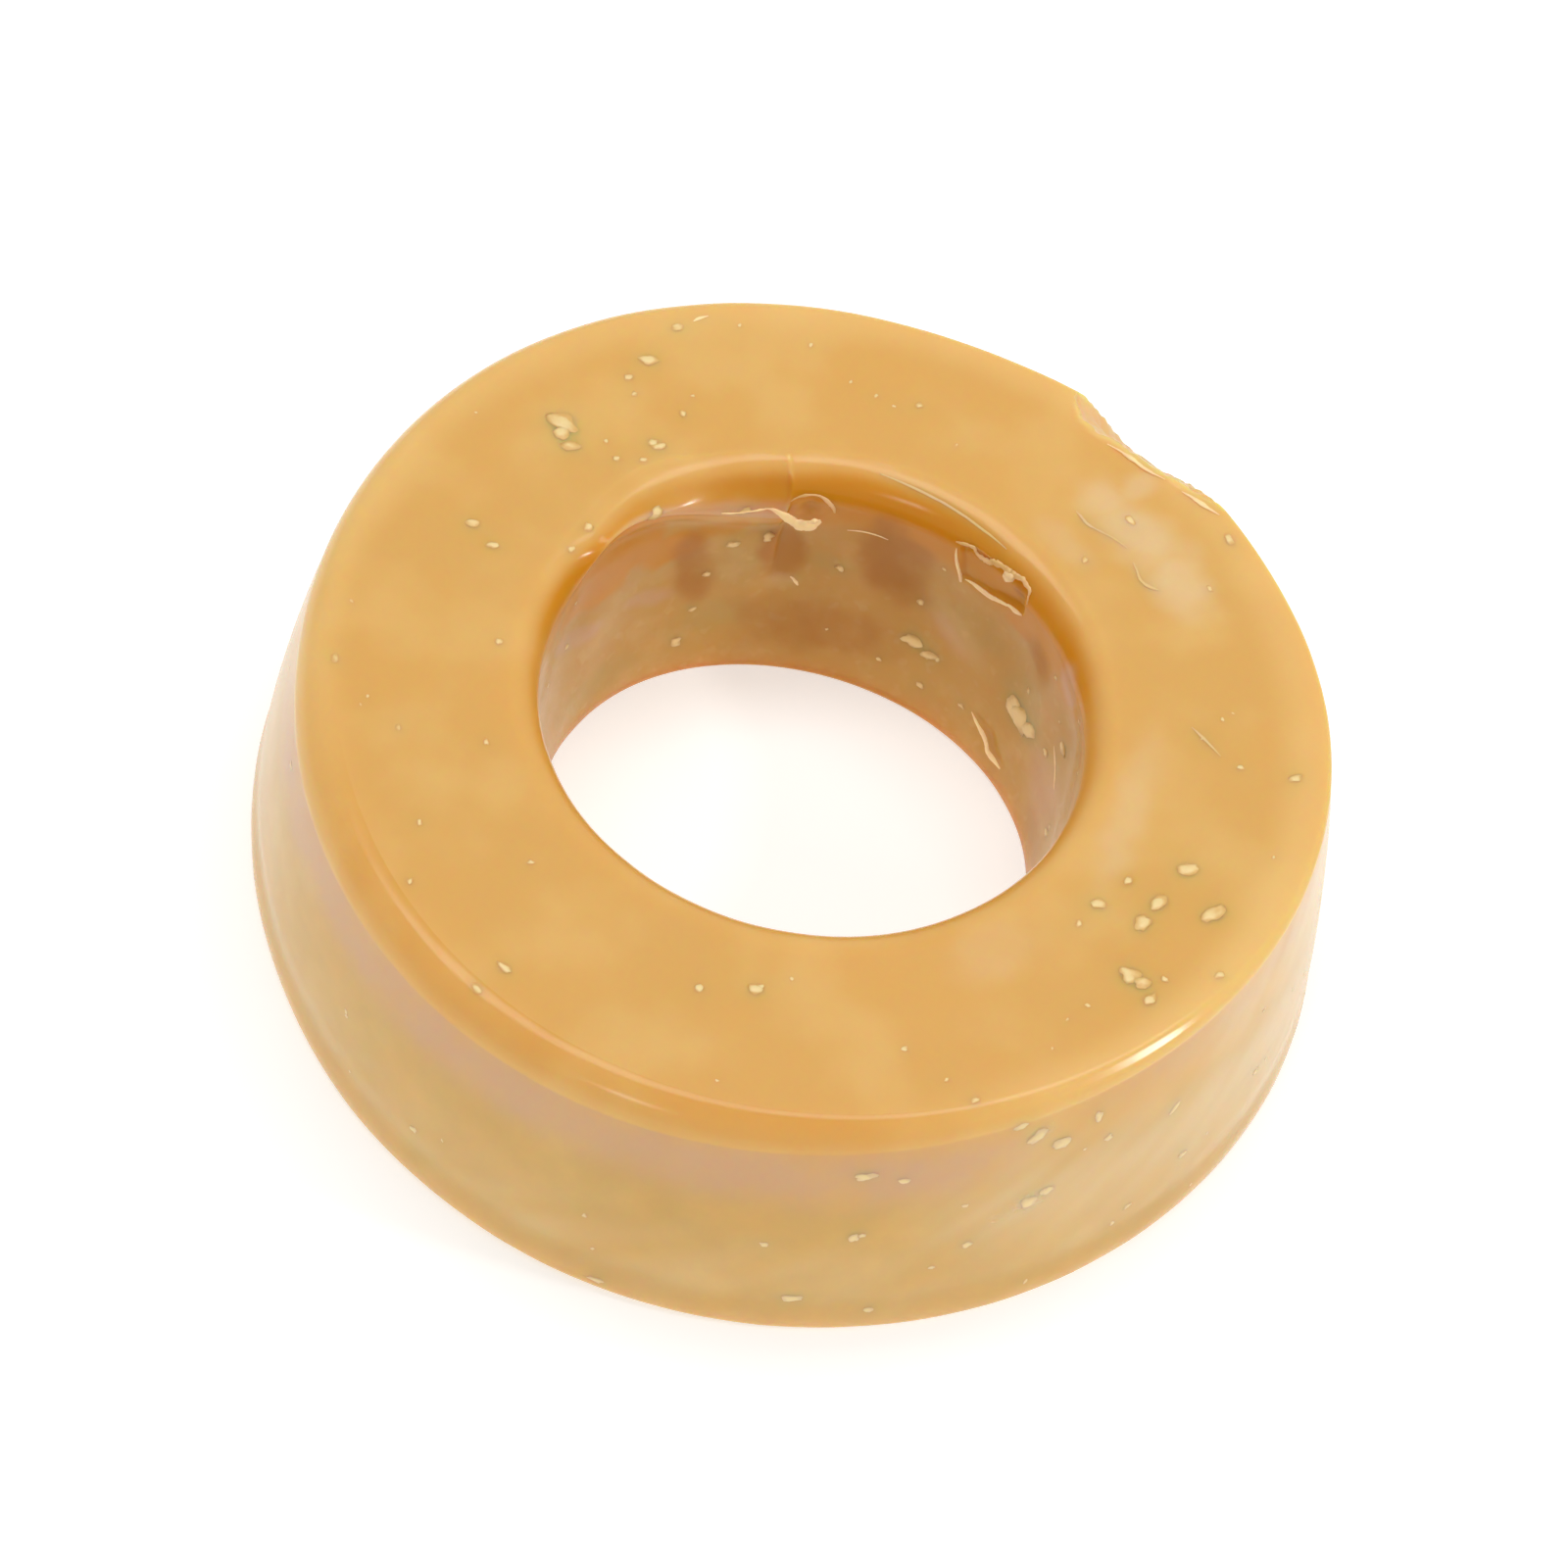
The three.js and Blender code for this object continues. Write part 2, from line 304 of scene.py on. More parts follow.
# The line where the top face turns down into the bore: angle and radius in millimetres
RIM_LINE = [
    (5, 28.2), (20, 28.3), (35, 28.7), (48, 28.9), (60, 29.0), (76, 29.0), (91, 29.1), (99, 28.9),
    (105, 28.4), (110, 28.5), (116, 28.8), (122, 28.9), (127, 29.5), (133, 29.8), (138, 29.7), (143, 29.3),
    (151, 28.4), (158, 28), (170, 28.2), (185, 28.5), (330, 28.5)]

# Degrees to either side over which that line is averaged
LINE_SMOOTHING = (-3, -1.5, 0, 1.5, 3)

# Where the slump's lip stands back: how far, at which angle, and how many degrees that spreads
LIP_BACK = 0.6 * MM
LIP_BACK_ANGLE = 141
LIP_BACK_SPREAD = 13

# Flattened facet on the outer top edge that catches the light: angle, spread, tilt in degrees and depth
FACET_ANGLE = 319
FACET_SPREAD = 11
FACET_TILT = 30.7
FACET_DEPTH = 0.07 * MM

# Where the painted glow on the top's outer edge is strongest, and how many degrees that spreads
PALE_ANGLE = 335
PALE_SPREAD = 22

# Wax pushed out round the gouge: how far, and how many degrees that spreads
GOUGE_PUSH = 0.8 * MM
GOUGE_PUSH_SPREAD = 17

# The gouge in the outer edge: angle, then how far it cuts into the top face and down the wall, in millimetres
GOUGE = [(42.5, 0, 0), (44, 0.2, 0.1), (46, 0.6, 0.35), (48.5, 1.2, 0.9), (51, 1.9, 1.9), (54, 2.6, 3.2),
         (57, 2.8, 4.0), (59.5, 3.1, 4.0), (62, 3.3, 3.2), (64, 3.2, 2.0), (65.6, 2.7, 1.0), (67, 1.7, 0.4),
         (68.2, 0, 0)]

# The gouge's face: its hollow, the unevenness of its upper edge, the softness of its outline, the least cut
# that counts, how far down it is crumpled, and the height, size and seed of each set of crumples
GOUGE_HOLLOW = 0.3 * MM
GOUGE_RAGGED = 0.2 * MM
GOUGE_EDGE = 0.1 * MM
GOUGE_LEAST = 0.02 * MM
GOUGE_REACH = 7 * MM
GOUGE_CRUMPLES = [(0.28 * MM, 1.5 * MM, 3), (0.12 * MM, 0.6 * MM, 9)]

# The crest of wax above the gouge: its height, where past the gouge's upper edge it is and how wide, how deep
# under the top it ends, and the cuts between which it rises
CREST_HEIGHT = 0.16 * MM
CREST_PLACE = (-0.3 * MM, 0.26 * MM)
CREST_DEPTH = 0.5 * MM
CREST_START = (0.6 * MM, 2 * MM)

# The chip's corners in the bore, from the upper left round to the lower left: angle and height in
# millimetres, and how uneven its edges are, in the same units
CHIP_CORNERS = [(67.8, 24.9), (48.5, 25.8), (47.6, 21.8), (65.2, 20.0)]
CHIP_UNEVEN = {"upper": 0.35, "lower": 0.1, "left": 0.4, "right": 0.6}

# Where the chip is deepest, and how far that spreads, in degrees
CHIP_DEEPEST = (51, 4)

# Low waves of the wax: the broad and the middle ones' heights in millimetres, and the height of the bore's own
BROAD_WAVES = 0.09
MIDDLE_WAVES = 0.03
BORE_WAVES = 0.12 * MM

# The groove and the bead low on the outer wall: depth or height, then middle and spread of their heights
WALL_GROOVE = 0.14 * MM
WALL_GROOVE_HEIGHT = (4.4 * MM, 1.5 * MM)
WALL_BEAD = 0.10 * MM
WALL_BEAD_HEIGHT = (1.9 * MM, 0.9 * MM)

# The slump's lip: the angles between which it fades, its groove's depth and place, and its bead's height in
# millimetres and place, a place being the middle and the spread of the share of the way down to the lip
LIP_END = (142, 160)
LIP_GROOVE = 0.18 * MM
LIP_GROOVE_PLACE = (0.52, 0.16)
LIP_BEAD = 0.22
LIP_BEAD_PLACE = (0.86, 0.13)

# The crease along the rim's line: the angles between which it rises, and then falls, height in millimetres,
# how far past the line it runs and how wide it is
CREASE_START = (18, 40)
CREASE_END = (156, 168)
CREASE_HEIGHT = 0.05
CREASE_PLACE = 0.1 * MM
CREASE_SPREAD = 0.32 * MM

# The seam beside the slump: its angle at its start, degrees that it leans for each millimetre inwards, its
# start and its reach in millimetres from the axis, its width in degrees and its height in millimetres
SEAM_ANGLE = 106
SEAM_LEAN = 0.35
SEAM_START = 28
SEAM_REACH = 28.6
SEAM_SPREAD = 0.45
SEAM_HEIGHT = 0.10

# The pocket behind the torn flap: middle and spread of its angle and of its height, and its depth
POCKET_ANGLE = (100.5, 2.2)
POCKET_HEIGHT = (22.6 * MM, 1.5 * MM)
POCKET_DEPTH = 0.5 * MM


class RingForm:
    """The ring's section at every angle, before its damage is added."""

    def __init__(self, sizes, damage):
        self.sizes = sizes
        self.damage = damage
        self.centre = self.box_centre()

    def outer_radius(self, angle, z):
        """Radius of the outer wall"""
        up = z / HEIGHT
        push = GOUGE_PUSH * bell(angle, self.damage.gouge_angle, GOUGE_PUSH_SPREAD)
        base = self.sizes.base_radius + wave_height(BASE_WAVES, angle)
        top = self.sizes.top_radius + wave_height(TOP_WAVES, angle) + push
        return mix(base, top, up) + self.sizes.wall_swell * 4 * up * (1 - up)

    def edge_round(self, angle):
        """Round of the outer top edge"""
        share = 0.5 + 0.5 * np.cos(np.radians(angle - self.sizes.edge_round_angle))
        return mix(self.sizes.edge_round_min, self.sizes.edge_round_max, share)

    def slumped(self, angle):
        """How fully the bore's rim has slumped, from 0 to 1"""
        seam, end = self.damage.seam_angle, self.damage.slump_end_angle
        begun = rise(angle, seam - SEAM_WIDTH / 2, seam + SEAM_WIDTH / 2)
        return begun * (1 - rise(angle, end - SLUMP_FADE, end))

    def rim_drop(self, angle):
        """Height of the rim's lip under the top"""
        seam, end = self.damage.seam_angle, self.damage.slump_end_angle
        sag = 1 - rise(angle, seam, end - SLUMP_FADE)
        shelf = mix(SLUMP_DROP_SHALLOW, self.damage.slump_drop, sag)
        return mix(self.sizes.rim_round, shelf, self.slumped(angle))

    def bore_radius(self, angle, z):
        """Radius of the bore under its rim"""
        sizes, slumped = self.sizes, self.slumped(angle)
        base = sizes.bore_base_radius + wave_height(BORE_BASE_WAVES, angle)
        top = sizes.bore_top_radius + wave_height(BORE_TOP_WAVES, angle) - SLUMP_LIP_REACH * slumped
        top += LIP_BACK * bell(angle, LIP_BACK_ANGLE, LIP_BACK_SPREAD)
        lip = HEIGHT - self.rim_drop(angle)
        down = np.clip((lip - z) / (lip - sizes.foot_round), 0, 1)
        hollow = sizes.bore_hollow * np.sin(np.pi * down * (1 + HOLLOW_BIAS - HOLLOW_BIAS * down))
        ring_of_lumps = np.cos(LUMP_COUNT * np.radians(angle - LUMP_ANGLE))
        lump = sizes.lump_height * ring_of_lumps * bell(HEIGHT - z, LUMP_DEPTH, LUMP_SPREAD)
        under = self.damage.slump_undercut * slumped
        under = under * bell(lip - z, SLUMP_UNDERCUT_DEPTH, SLUMP_UNDERCUT_DEPTH / 2)
        under = under * np.minimum(1, down * UNDERCUT_START)
        return mix(top, base, down) + hollow + lump * np.sin(np.pi * down) + under

    def rim_line(self, angle):
        """Radius of the line where the top face turns down into the bore"""
        shifted = [np.interp(angle + shift, *zip(*RIM_LINE), period=360) for shift in LINE_SMOOTHING]
        return sum(shifted) / len(shifted) * MM

    def section(self, angle):
        """Radii and heights round the closed section at each angle, and the name and share of each column"""
        sizes = self.sizes
        foot, base_round = sizes.foot_round, sizes.base_edge_round
        inner = self.bore_radius(angle, foot) + foot
        outer = self.outer_radius(angle, base_round) - base_round
        edge = self.edge_round(angle)
        edge_z = HEIGHT - edge
        edge_r = self.outer_radius(angle, edge_z) - edge
        drop = self.rim_drop(angle)
        lip_z = HEIGHT - drop
        lip_r = self.bore_radius(angle, lip_z)
        line_r = self.rim_line(angle)
        level = np.zeros_like(angle)
        quarter = math.pi / 2

        def oval(centre_r, centre_z, reach_r, reach_z, turn):
            return level + centre_r + reach_r * math.cos(turn), level + centre_z + reach_z * math.sin(turn)

        def top_edge(share):
            turn = quarter * share
            tilt = math.radians(FACET_TILT)
            over = edge - FACET_DEPTH * bell(angle, FACET_ANGLE, FACET_SPREAD)
            beyond = np.maximum(edge * math.cos(turn - math.radians(90 - FACET_TILT)) - over, 0)
            radius, z = oval(edge_r, edge_z, edge, edge, turn)
            return radius - beyond * math.sin(tilt), z - beyond * math.cos(tilt)

        def wall(share):
            z = mix(base_round, edge_z, share)
            return self.outer_radius(angle, z), z

        def top(share):
            crowded = share - TOP_CROWDING * math.sin(2 * math.pi * share)
            return mix(edge_r, line_r, crowded), level + HEIGHT

        def bore(share):
            z = mix(lip_z, foot, share)
            return self.bore_radius(angle, z), z

        # Each stretch's number of points, and where the one at a share of its length is
        stretches = {
            "base": (9, lambda t: (mix(inner, outer, t), level)),
            "base_edge": (4, lambda t: oval(outer, base_round, base_round, base_round, quarter * (t - 1))),
            "wall": (30, lambda t: wall(1 - (1 - t) ** CROWDING)),
            "top_edge": (14, top_edge),
            "top": (46, top),
            "rim": (26, lambda t: oval(line_r, lip_z, line_r - lip_r, drop, quarter * (1 + t))),
            "bore": (42, lambda t: bore(t ** CROWDING)),
            "foot": (2, lambda t: oval(inner, foot, foot, foot, quarter * (2 + t))),
        }
        columns = [(name, (step + 1) / steps, point_at)
                   for name, (steps, point_at) in stretches.items() for step in range(steps)]
        places = [point_at(share) for _, share, point_at in columns]
        radii, heights = (np.stack(values, axis=1) for values in zip(*places))
        return radii, heights, [(name, share) for name, share, _ in columns]

    def box_centre(self):
        """Centre of the undamaged ring's box, which stands over the frame's origin"""
        angle = np.arange(0, 360, BOX_SPACING)
        reach = self.section(angle)[0].max(axis=1)
        across = [reach * turn(np.radians(angle)) for turn in (np.cos, np.sin)]
        return Vector([(values.max() + values.min()) / 2 for values in across] + [0.0])

    def outer_radius_at(self, angle, z):
        """Radius of the outer wall at one angle"""
        return float(self.outer_radius(np.array([float(angle)]), z)[0])

    def spot(self, face, angle, across):
        """A place on a face: its centre and the directions along the ring, across the face and out.

        Across is a radius on the top face and a height on the wall and in the bore.
        """
        turn = math.radians(angle)
        out = Vector((math.cos(turn), math.sin(turn), 0))
        along = Vector((-math.sin(turn), math.cos(turn), 0))
        up = Vector((0, 0, 1))
        if face == "top":
            return out * across + up * HEIGHT, along, out, up
        if face == "wall":
            return out * self.outer_radius_at(angle, across) + up * across, along, up, out
        radius = float(self.bore_radius(np.array([float(angle)]), across)[0])
        return out * radius + up * across, along, up, -out


def spot_field(points, form, face, angle, across, length, width, turn=0.0):
    """1 in the middle of an oval spot on a face, 0 at its edge and below 0 outside it"""
    centre, along, over, out = form.spot(face, angle, across * MM)
    tilt = math.radians(turn)
    long_way = along * math.cos(tilt) + over * math.sin(tilt)
    short_way = over * math.cos(tilt) - along * math.sin(tilt)
    offset = points - np.array(centre)
    reach_long = offset @ np.array(long_way) / (length * MM / 2)
    reach_short = offset @ np.array(short_way) / (width * MM / 2)
    reach_out = offset @ np.array(out) / PATCH_DEPTH
    return 1 - np.sqrt(reach_long ** 2 + reach_short ** 2 + reach_out ** 2)


# How deep into the wax a patch of colour reaches
PATCH_DEPTH = 3 * MM

# Soft patches of colour: the mask they paint, face, angle, radius or height, length, width, turn, strength
# The amber patches are a painted glow of light through the wax, the brown ones painted shade in the bore's
# hollows and under its lip, the rose ones a painted pinkish sheen, and the milky ones a painted sheen, except
# for the smears on the top face and in the bore
PATCHES = [
    ("amber", "bore", 148, 20.3, 26, 11.5, -7, 1.7), ("amber", "bore", 131, 18.5, 10, 7, 0, 1.2),
    ("amber", "bore", 118, 20.5, 9, 4, 0, 0.7), ("amber", "bore", 101, 22.8, 4, 4, 0, 1.0),
    ("amber", "bore", 48, 20, 7, 5, 0, 0.8), ("rose", "bore", 162, 14.6, 5, 3.5, 20, 0.7),
    ("rose", "bore", 155, 13.2, 11, 4, 15, 0.7), ("brown", "bore", 150, 19.5, 25, 9, -7, 0.25),
    ("rose", "bore", 135, 12.2, 9, 3.5, 20, 0.7), ("rose", "bore", 27, 22.5, 6, 7, 0, 0.9),
    ("rose", "bore", 23, 8, 13, 11, 0, 0.6), ("rose", "bore", 64, 12, 9, 4, 30, 0.5),
    ("veil", "bore", 103, 11.6, 5, 2.2, 0, 0.35), ("veil", "bore", 23, 10.5, 8, 6, 30, 0.3),
    ("veil", "bore", 150, 11, 16, 5, 15, 0.15), ("veil", "bore", 62, 13, 14, 5, 30, 0.2),
    ("brown", "bore", 124, 15, 15, 6, 78, 0.8), ("brown", "bore", 104.5, 16, 13, 7, 76, 1.05),
    ("brown", "bore", 80, 18, 17, 11, 66, 1.0), ("brown", "bore", 95, 6, 38, 12, 0, 0.62),
    ("brown", "bore", 20, 3.5, 12, 7, 0, 0.5), ("brown", "bore", 40, 18.5, 8, 8, 0, 0.7),
    ("brown", "bore", 51, 23.6, 3, 2.4, 0, 1.0), ("olive", "bore", 117, 7, 16, 8, 0, 0.8),
    ("olive", "bore", 114, 15, 8, 10, 0, 0.9), ("olive", "bore", 93, 15, 8, 6, 0, 0.6),
    ("olive", "bore", 60, 15, 14, 9, 0, 0.8), ("olive", "bore", 40, 12, 12, 12, 0, 0.8),
    ("olive", "bore", 150, 4, 20, 8, 0, 0.7), ("veil", "top", 47, 38.4, 18, 10, -8, 0.68),
    ("veil", "top", 38, 38.6, 13, 8.5, 0, 0.68), ("veil", "top", 54, 38.2, 9, 8, 0, 0.6),
    ("veil", "top", 53, 41.5, 4.5, 8, 0, 0.55), ("veil", "top", 43, 37.8, 11, 7.5, 0, 0.5),
    ("veil", "top", 352, 30.3, 26, 6, 0, 0.42), ("veil", "top", 52, 31.3, 11, 5, 0, 0.35),
    ("veil", "top", 312, 31, 14, 8, 0, 0.25), ("bloom", "wall", 306, 14.5, 6, 4, 0, 0.7),
    ("bloom", "wall", 302, 13.5, 4, 3, 0, 0.5), ("bloom", "wall", 306, 23, 5, 3, 30, 0.6),
    ("brown", "wall", 341.5, 11, 17, 1.2, -10, 0.4),
]

# The wall's colours all round: the mask they paint, where they begin and end in degrees, their height and
# spread in millimetres, and their strength
# The rose bands are a painted pinkish sheen under the top edge, and the milky ones a painted sheen on the wall
BANDS = [
    ("rose", 188, 305, 21.5, 4.2, 0.85),
    ("rose", 312, 372, 24.5, 3, 0.5),
    ("veil", 298, 352, 14, 7, 0.58),
    ("veil", 328, 372, 22, 6, 0.62),
    ("olive", 310, 360, 3, 4, 0.6),
    ("veil", 215, 300, 6, 7, 0.2),
]
BAND_FADE = 12

# Slanting streaks in the wall's painted milky sheen: tilt in degrees, length and width in millimetres, and
# strength
STREAK_TILT = 35
STREAK_LENGTH = 14
STREAK_WIDTH = 2.4
STREAK_STRENGTH = 0.75

# Masks that patches and bands paint
PAINTED = ("amber", "bloom", "brown", "olive", "rose", "veil")

# The painted amber glow under the bore's rim, for light that comes through the wax: the depths between which
# it rises, how deep it reaches and how slowly it fades, its strength, what the far rim adds to that and
# between which angles, and changes of the reach and of the strength, each with its angle and its spread
AMBER_START = (0.4 * MM, 4.5 * MM)
AMBER_REACH = 7 * MM
AMBER_REACH_CHANGES = [(-2.5 * MM, 117, 7), (0.8 * MM, 45, 25)]
AMBER_FADE = 5 * MM
AMBER_NEAR = 0.55
AMBER_FAR = 0.45
FAR_RIM_START = (10, 30)
FAR_RIM_END = (165, 185)
AMBER_STRENGTH_CHANGES = [(-0.45, 130, 16), (-0.15, 40, 25)]

# Where the round of the outer top edge is painted with the amber glow: the angles between which it rises, and
# then falls
FRONT_EDGE_START = (190, 225)
FRONT_EDGE_END = (285, 312)

# Crumbs of pale wax: face, then for each crumb the angle, the radius or height, length, width and turn
CRUMBS = [
    ("top", [
        (140, 38.3, 2.0, 1.3, 60), (141, 37.2, 1.1, 0.8, 10), (142, 35.4, 1.2, 0.8, 20),
        (123.7, 41.5, 1.2, 0.8, 30), (127.4, 40.1, 0.6, 0.5, 0), (118.3, 44.8, 0.9, 0.6, 0),
        (129.8, 32.1, 0.6, 0.5, 0), (129, 31.5, 1.0, 0.5, 10), (137.2, 31.9, 0.5, 0.4, 0),
        (163.8, 35.9, 0.9, 0.5, 70), (165.9, 33.2, 0.8, 0.4, 70), (185.2, 29.3, 0.5, 0.4, 0),
        (191.6, 43.8, 0.6, 0.4, 0), (263.6, 34.7, 0.5, 0.5, 0), (271.6, 33.3, 0.8, 0.7, 0),
        (241, 42.6, 0.8, 0.4, 0), (240.6, 46.0, 0.8, 0.4, 0), (331.9, 32.8, 0.9, 0.6, 40),
        (333.8, 37, 1.3, 0.9, 10), (338.2, 36.8, 1.2, 0.8, 10), (341, 41.5, 1.7, 0.9, 20),
        (345.8, 37.5, 1.4, 0.8, 60), (338.7, 33.5, 0.6, 0.4, 0), (334, 45.4, 0.7, 0.5, 0),
        (325.2, 42.7, 1.0, 0.6, 0), (299.1, 44.7, 0.5, 0.4, 0), (292.5, 38.5, 0.4, 0.3, 0),
        (326.8, 33, 0.5, 0.4, 0), (326, 39.6, 1.3, 1.0, 80), (326.3, 41, 1.0, 0.8, 20),
        (4.8, 44.7, 0.9, 0.5, 60), (40.9, 45.8, 0.8, 0.5, 0), (49.5, 38.6, 0.7, 0.5, 0)]),
    ("wall", [
        (286.7, 21.8, 1.1, 0.6, 10), (291.1, 20.9, 0.7, 0.4, 0), (287, 13.9, 0.6, 0.6, 0),
        (278, 12.5, 0.5, 0.4, 0), (299.5, 10.8, 0.6, 0.5, 0), (296, 8.5, 0.4, 0.3, 0),
        (281.9, 4.9, 1.2, 0.6, 10), (290.2, 3.1, 0.6, 0.4, 0), (313.6, 22.6, 0.8, 0.5, 80),
        (309.3, 21, 1.0, 0.8, 0), (315.3, 18.9, 0.6, 0.5, 0), (304, 25, 0.8, 0.5, 0), (306, 23, 1.2, 0.8, 30),
        (319.5, 6.8, 0.5, 0.4, 0), (327.1, 9.1, 0.6, 0.4, 0), (324.7, 17.5, 0.9, 0.4, 40),
        (339.9, 10.4, 0.6, 0.4, 0), (262.4, 1.6, 1.0, 0.4, 0), (201.6, 21.4, 0.5, 0.4, 0),
        (239, 6.9, 0.5, 0.5, 0), (306, 14.5, 1.0, 0.8, 0), (308, 15.3, 0.7, 0.6, 0)]),
    ("bore", [
        (116, 17.8, 0.8, 0.5, 0), (108.5, 18.1, 0.8, 0.7, 0), (120.3, 13.5, 0.6, 0.4, 0),
        (122.5, 8.7, 0.7, 0.3, -30), (126, 4.5, 0.8, 0.7, 0), (158.5, 13.1, 0.5, 0.4, 0),
        (72.5, 13.5, 0.5, 0.4, 0), (66.8, 4.0, 0.6, 0.4, 0), (91.2, 14.7, 0.5, 0.5, 0),
        (71.5, 8.6, 1.7, 0.9, -20), (66.8, 8.0, 1.3, 0.7, -25), (42.8, 10.2, 1.9, 1.4, 20),
        (39.5, 10, 2.0, 2.0, 40), (35.9, 10.3, 1.9, 1.3, -30), (25, 14.4, 0.9, 0.6, 30),
        (28.9, 11, 0.6, 0.5, 0), (14.6, 6.7, 0.6, 0.5, 0), (55.3, 4.9, 0.5, 0.4, 0), (137, 26.3, 0.9, 0.5, 0),
        (115.4, 23.4, 0.9, 0.5, 0)]),
    ("top", [
        (152.1, 27.4, 0.6, 0.5, 0), (158.4, 26.9, 0.5, 0.4, 0)]),
]

# A crumb is the top of a flat ball: how much wider the ball is, its height as a share of its width, how deep
# it is sunk, and how strongly and how finely it is uneven
CRUMB_SPREAD = 2.2
CRUMB_HEIGHT = 0.17
CRUMB_SINK = 0.68
CRUMB_UNEVEN = [(0.45, 1.4), (0.15, 4)]
CRUMB_MASKS = ("core", "shade", "veil")

# Loose scatter of dust all round: how many grains, their smallest and largest size in millimetres, how much
# longer than wide they are, and from which to which radius or height they lie on each face
DUST_COUNT = 110
DUST_SIZE = (0.15, 0.36)
DUST_LENGTH = 1.4
DUST_SEED = 7
DUST_REACH = {"top": (30.5, 45), "wall": (1.5, 21), "bore": (1.5, 21)}

# How far apart the noise of one crumb or grain of dust is from that of the next
CRUMB_SHIFT = 1.7
DUST_SHIFT = 2.3

# Soft raised creases in the wax itself: face, thickness as a share of width, raggedness, then for each point
# the angle, the radius or height, how far it stands off the face and the width
CREASES = {
    "rim_crease_inner": ("top", 0.12, 0.2, [
        (88, 27.7, 0, 0.1), (80, 27.3, 0, 0.24), (72, 27, 0, 0.26), (66, 26.7, 0, 0.24), (58, 26.4, 0, 0.1)]),
    "pocket_arc": ("bore", 0.5, 0.5, [
        (105.2, 24, 0, 0.1), (103.6, 24.5, 0, 0.25), (101.6, 24.8, 0, 0.3), (99.3, 24.8, 0, 0.28),
        (97.4, 24.3, 0, 0.38), (95.9, 23.5, 0, 0.4), (95.2, 22.6, 0, 0.15)]),
    "chip_top": ("bore", 0.6, 0.8, [
        (68.2, 24.7, 0, 0.2), (66.3, 24.9, 0, 0.5), (64.3, 24.8, 0, 0.5), (62.5, 24.4, 0, 0.4),
        (60.7, 24.5, 0.05, 0.75), (58.8, 24.9, 0.05, 0.9), (56.6, 25.4, 0.05, 0.45), (54.9, 25.2, 0.1, 1.05),
        (53.5, 25, 0.1, 0.95), (51.9, 25.6, 0.05, 0.6), (50.2, 25.8, 0.05, 0.4), (48.2, 25.3, 0, 0.25),
        (47.3, 24.1, 0, 0.1)]),
    "top_scratch": ("top", 0.25, 0.3, [
        (11.1, 35, 0, 0.1), (9, 36.2, 0, 0.3), (6.4, 37.7, 0, 0.1)]),
    "smear_edge": ("top", 0.3, 0.6, [
        (55.4, 35, 0, 0.1), (54, 34.9, 0, 0.25), (52.4, 34.8, 0, 0.3), (50.4, 35.2, 0, 0.22),
        (48, 35.8, 0, 0.18), (45.6, 36.2, 0, 0.1)]),
    "smear_rag": ("top", 0.3, 0.9, [
        (43, 35.7, 0, 0.1), (41.5, 35.5, 0, 0.2), (39.5, 35.2, 0, 0.3), (37.8, 35.7, 0, 0.35),
        (36.6, 36.6, 0, 0.1)]),
}

# Pale burrs and scratches, laid out in the same way
BURRS = {
    "lip_glint": ("bore", 0.7, 0.5, [
        (121, 23.7, 0.1, 0.1), (118, 23.4, 0.1, 0.18), (115, 23.3, 0.1, 0.14), (112, 23.4, 0.1, 0.22),
        (110, 23.5, 0.1, 0.1)]),
    "chip_lump": ("bore", 0.8, 0.6, [
        (55.4, 25.1, 0.3, 0.4), (54.2, 24.9, 0.35, 1.0), (53, 25.2, 0.3, 0.5)]),
    "chip_foot": ("bore", 0.8, 0.2, [
        (64, 20.4, 0, 0.1), (62.2, 20.6, 0.05, 0.3), (58.8, 20.7, 0.1, 0.5), (55.4, 20.9, 0.1, 0.45),
        (52.4, 21.3, 0.05, 0.3), (50.2, 21.4, 0.05, 0.45), (48.4, 21.7, 0, 0.2)]),
    "chip_side": ("bore", 0.8, 0.2, [
        (67.6, 24, 0, 0.1), (67.1, 22.6, 0.05, 0.35), (66, 21.2, 0.05, 0.4), (64.8, 19.8, 0, 0.35)]),
    "gouge_glint": ("top", 0.5, 0.7, [
        (60.5, 43.6, 0, 0.1), (58.5, 43.8, 0.1, 0.25), (56.5, 44, 0.1, 0.42), (54.5, 44.1, 0.1, 0.28),
        (52, 44.8, 0, 0.1)]),
    "gouge_ridge": ("top", 0.4, 0.5, [
        (49.5, 45.2, 0, 0.1), (48, 45.6, 0.05, 0.45), (46.2, 46, 0.05, 0.4), (44.4, 46.6, 0, 0.1)]),
    "arc_scratch": ("bore", 0.5, 0.3, [
        (91.7, 20.4, 0, 0.1), (88.6, 20.8, 0, 0.2), (85.3, 20.8, 0, 0.2), (82.7, 20.5, 0, 0.1)]),
    "bore_smear": ("bore", 0.5, 0.6, [
        (101.4, 12.1, 0, 0.2), (100.2, 11.6, 0, 0.45), (99.4, 11.1, 0, 0.1)]),
    "right_scratch": ("bore", 0.5, 0.3, [
        (27, 13, 0, 0.15), (24, 11.5, 0, 0.25), (20.5, 10, 0, 0.15)]),
    "rim_streak": ("top", 0.3, 0.3, [
        (116, 45.3, 0, 0.1), (115.2, 45.6, 0, 0.4), (114, 45.8, 0, 0.1)]),
}

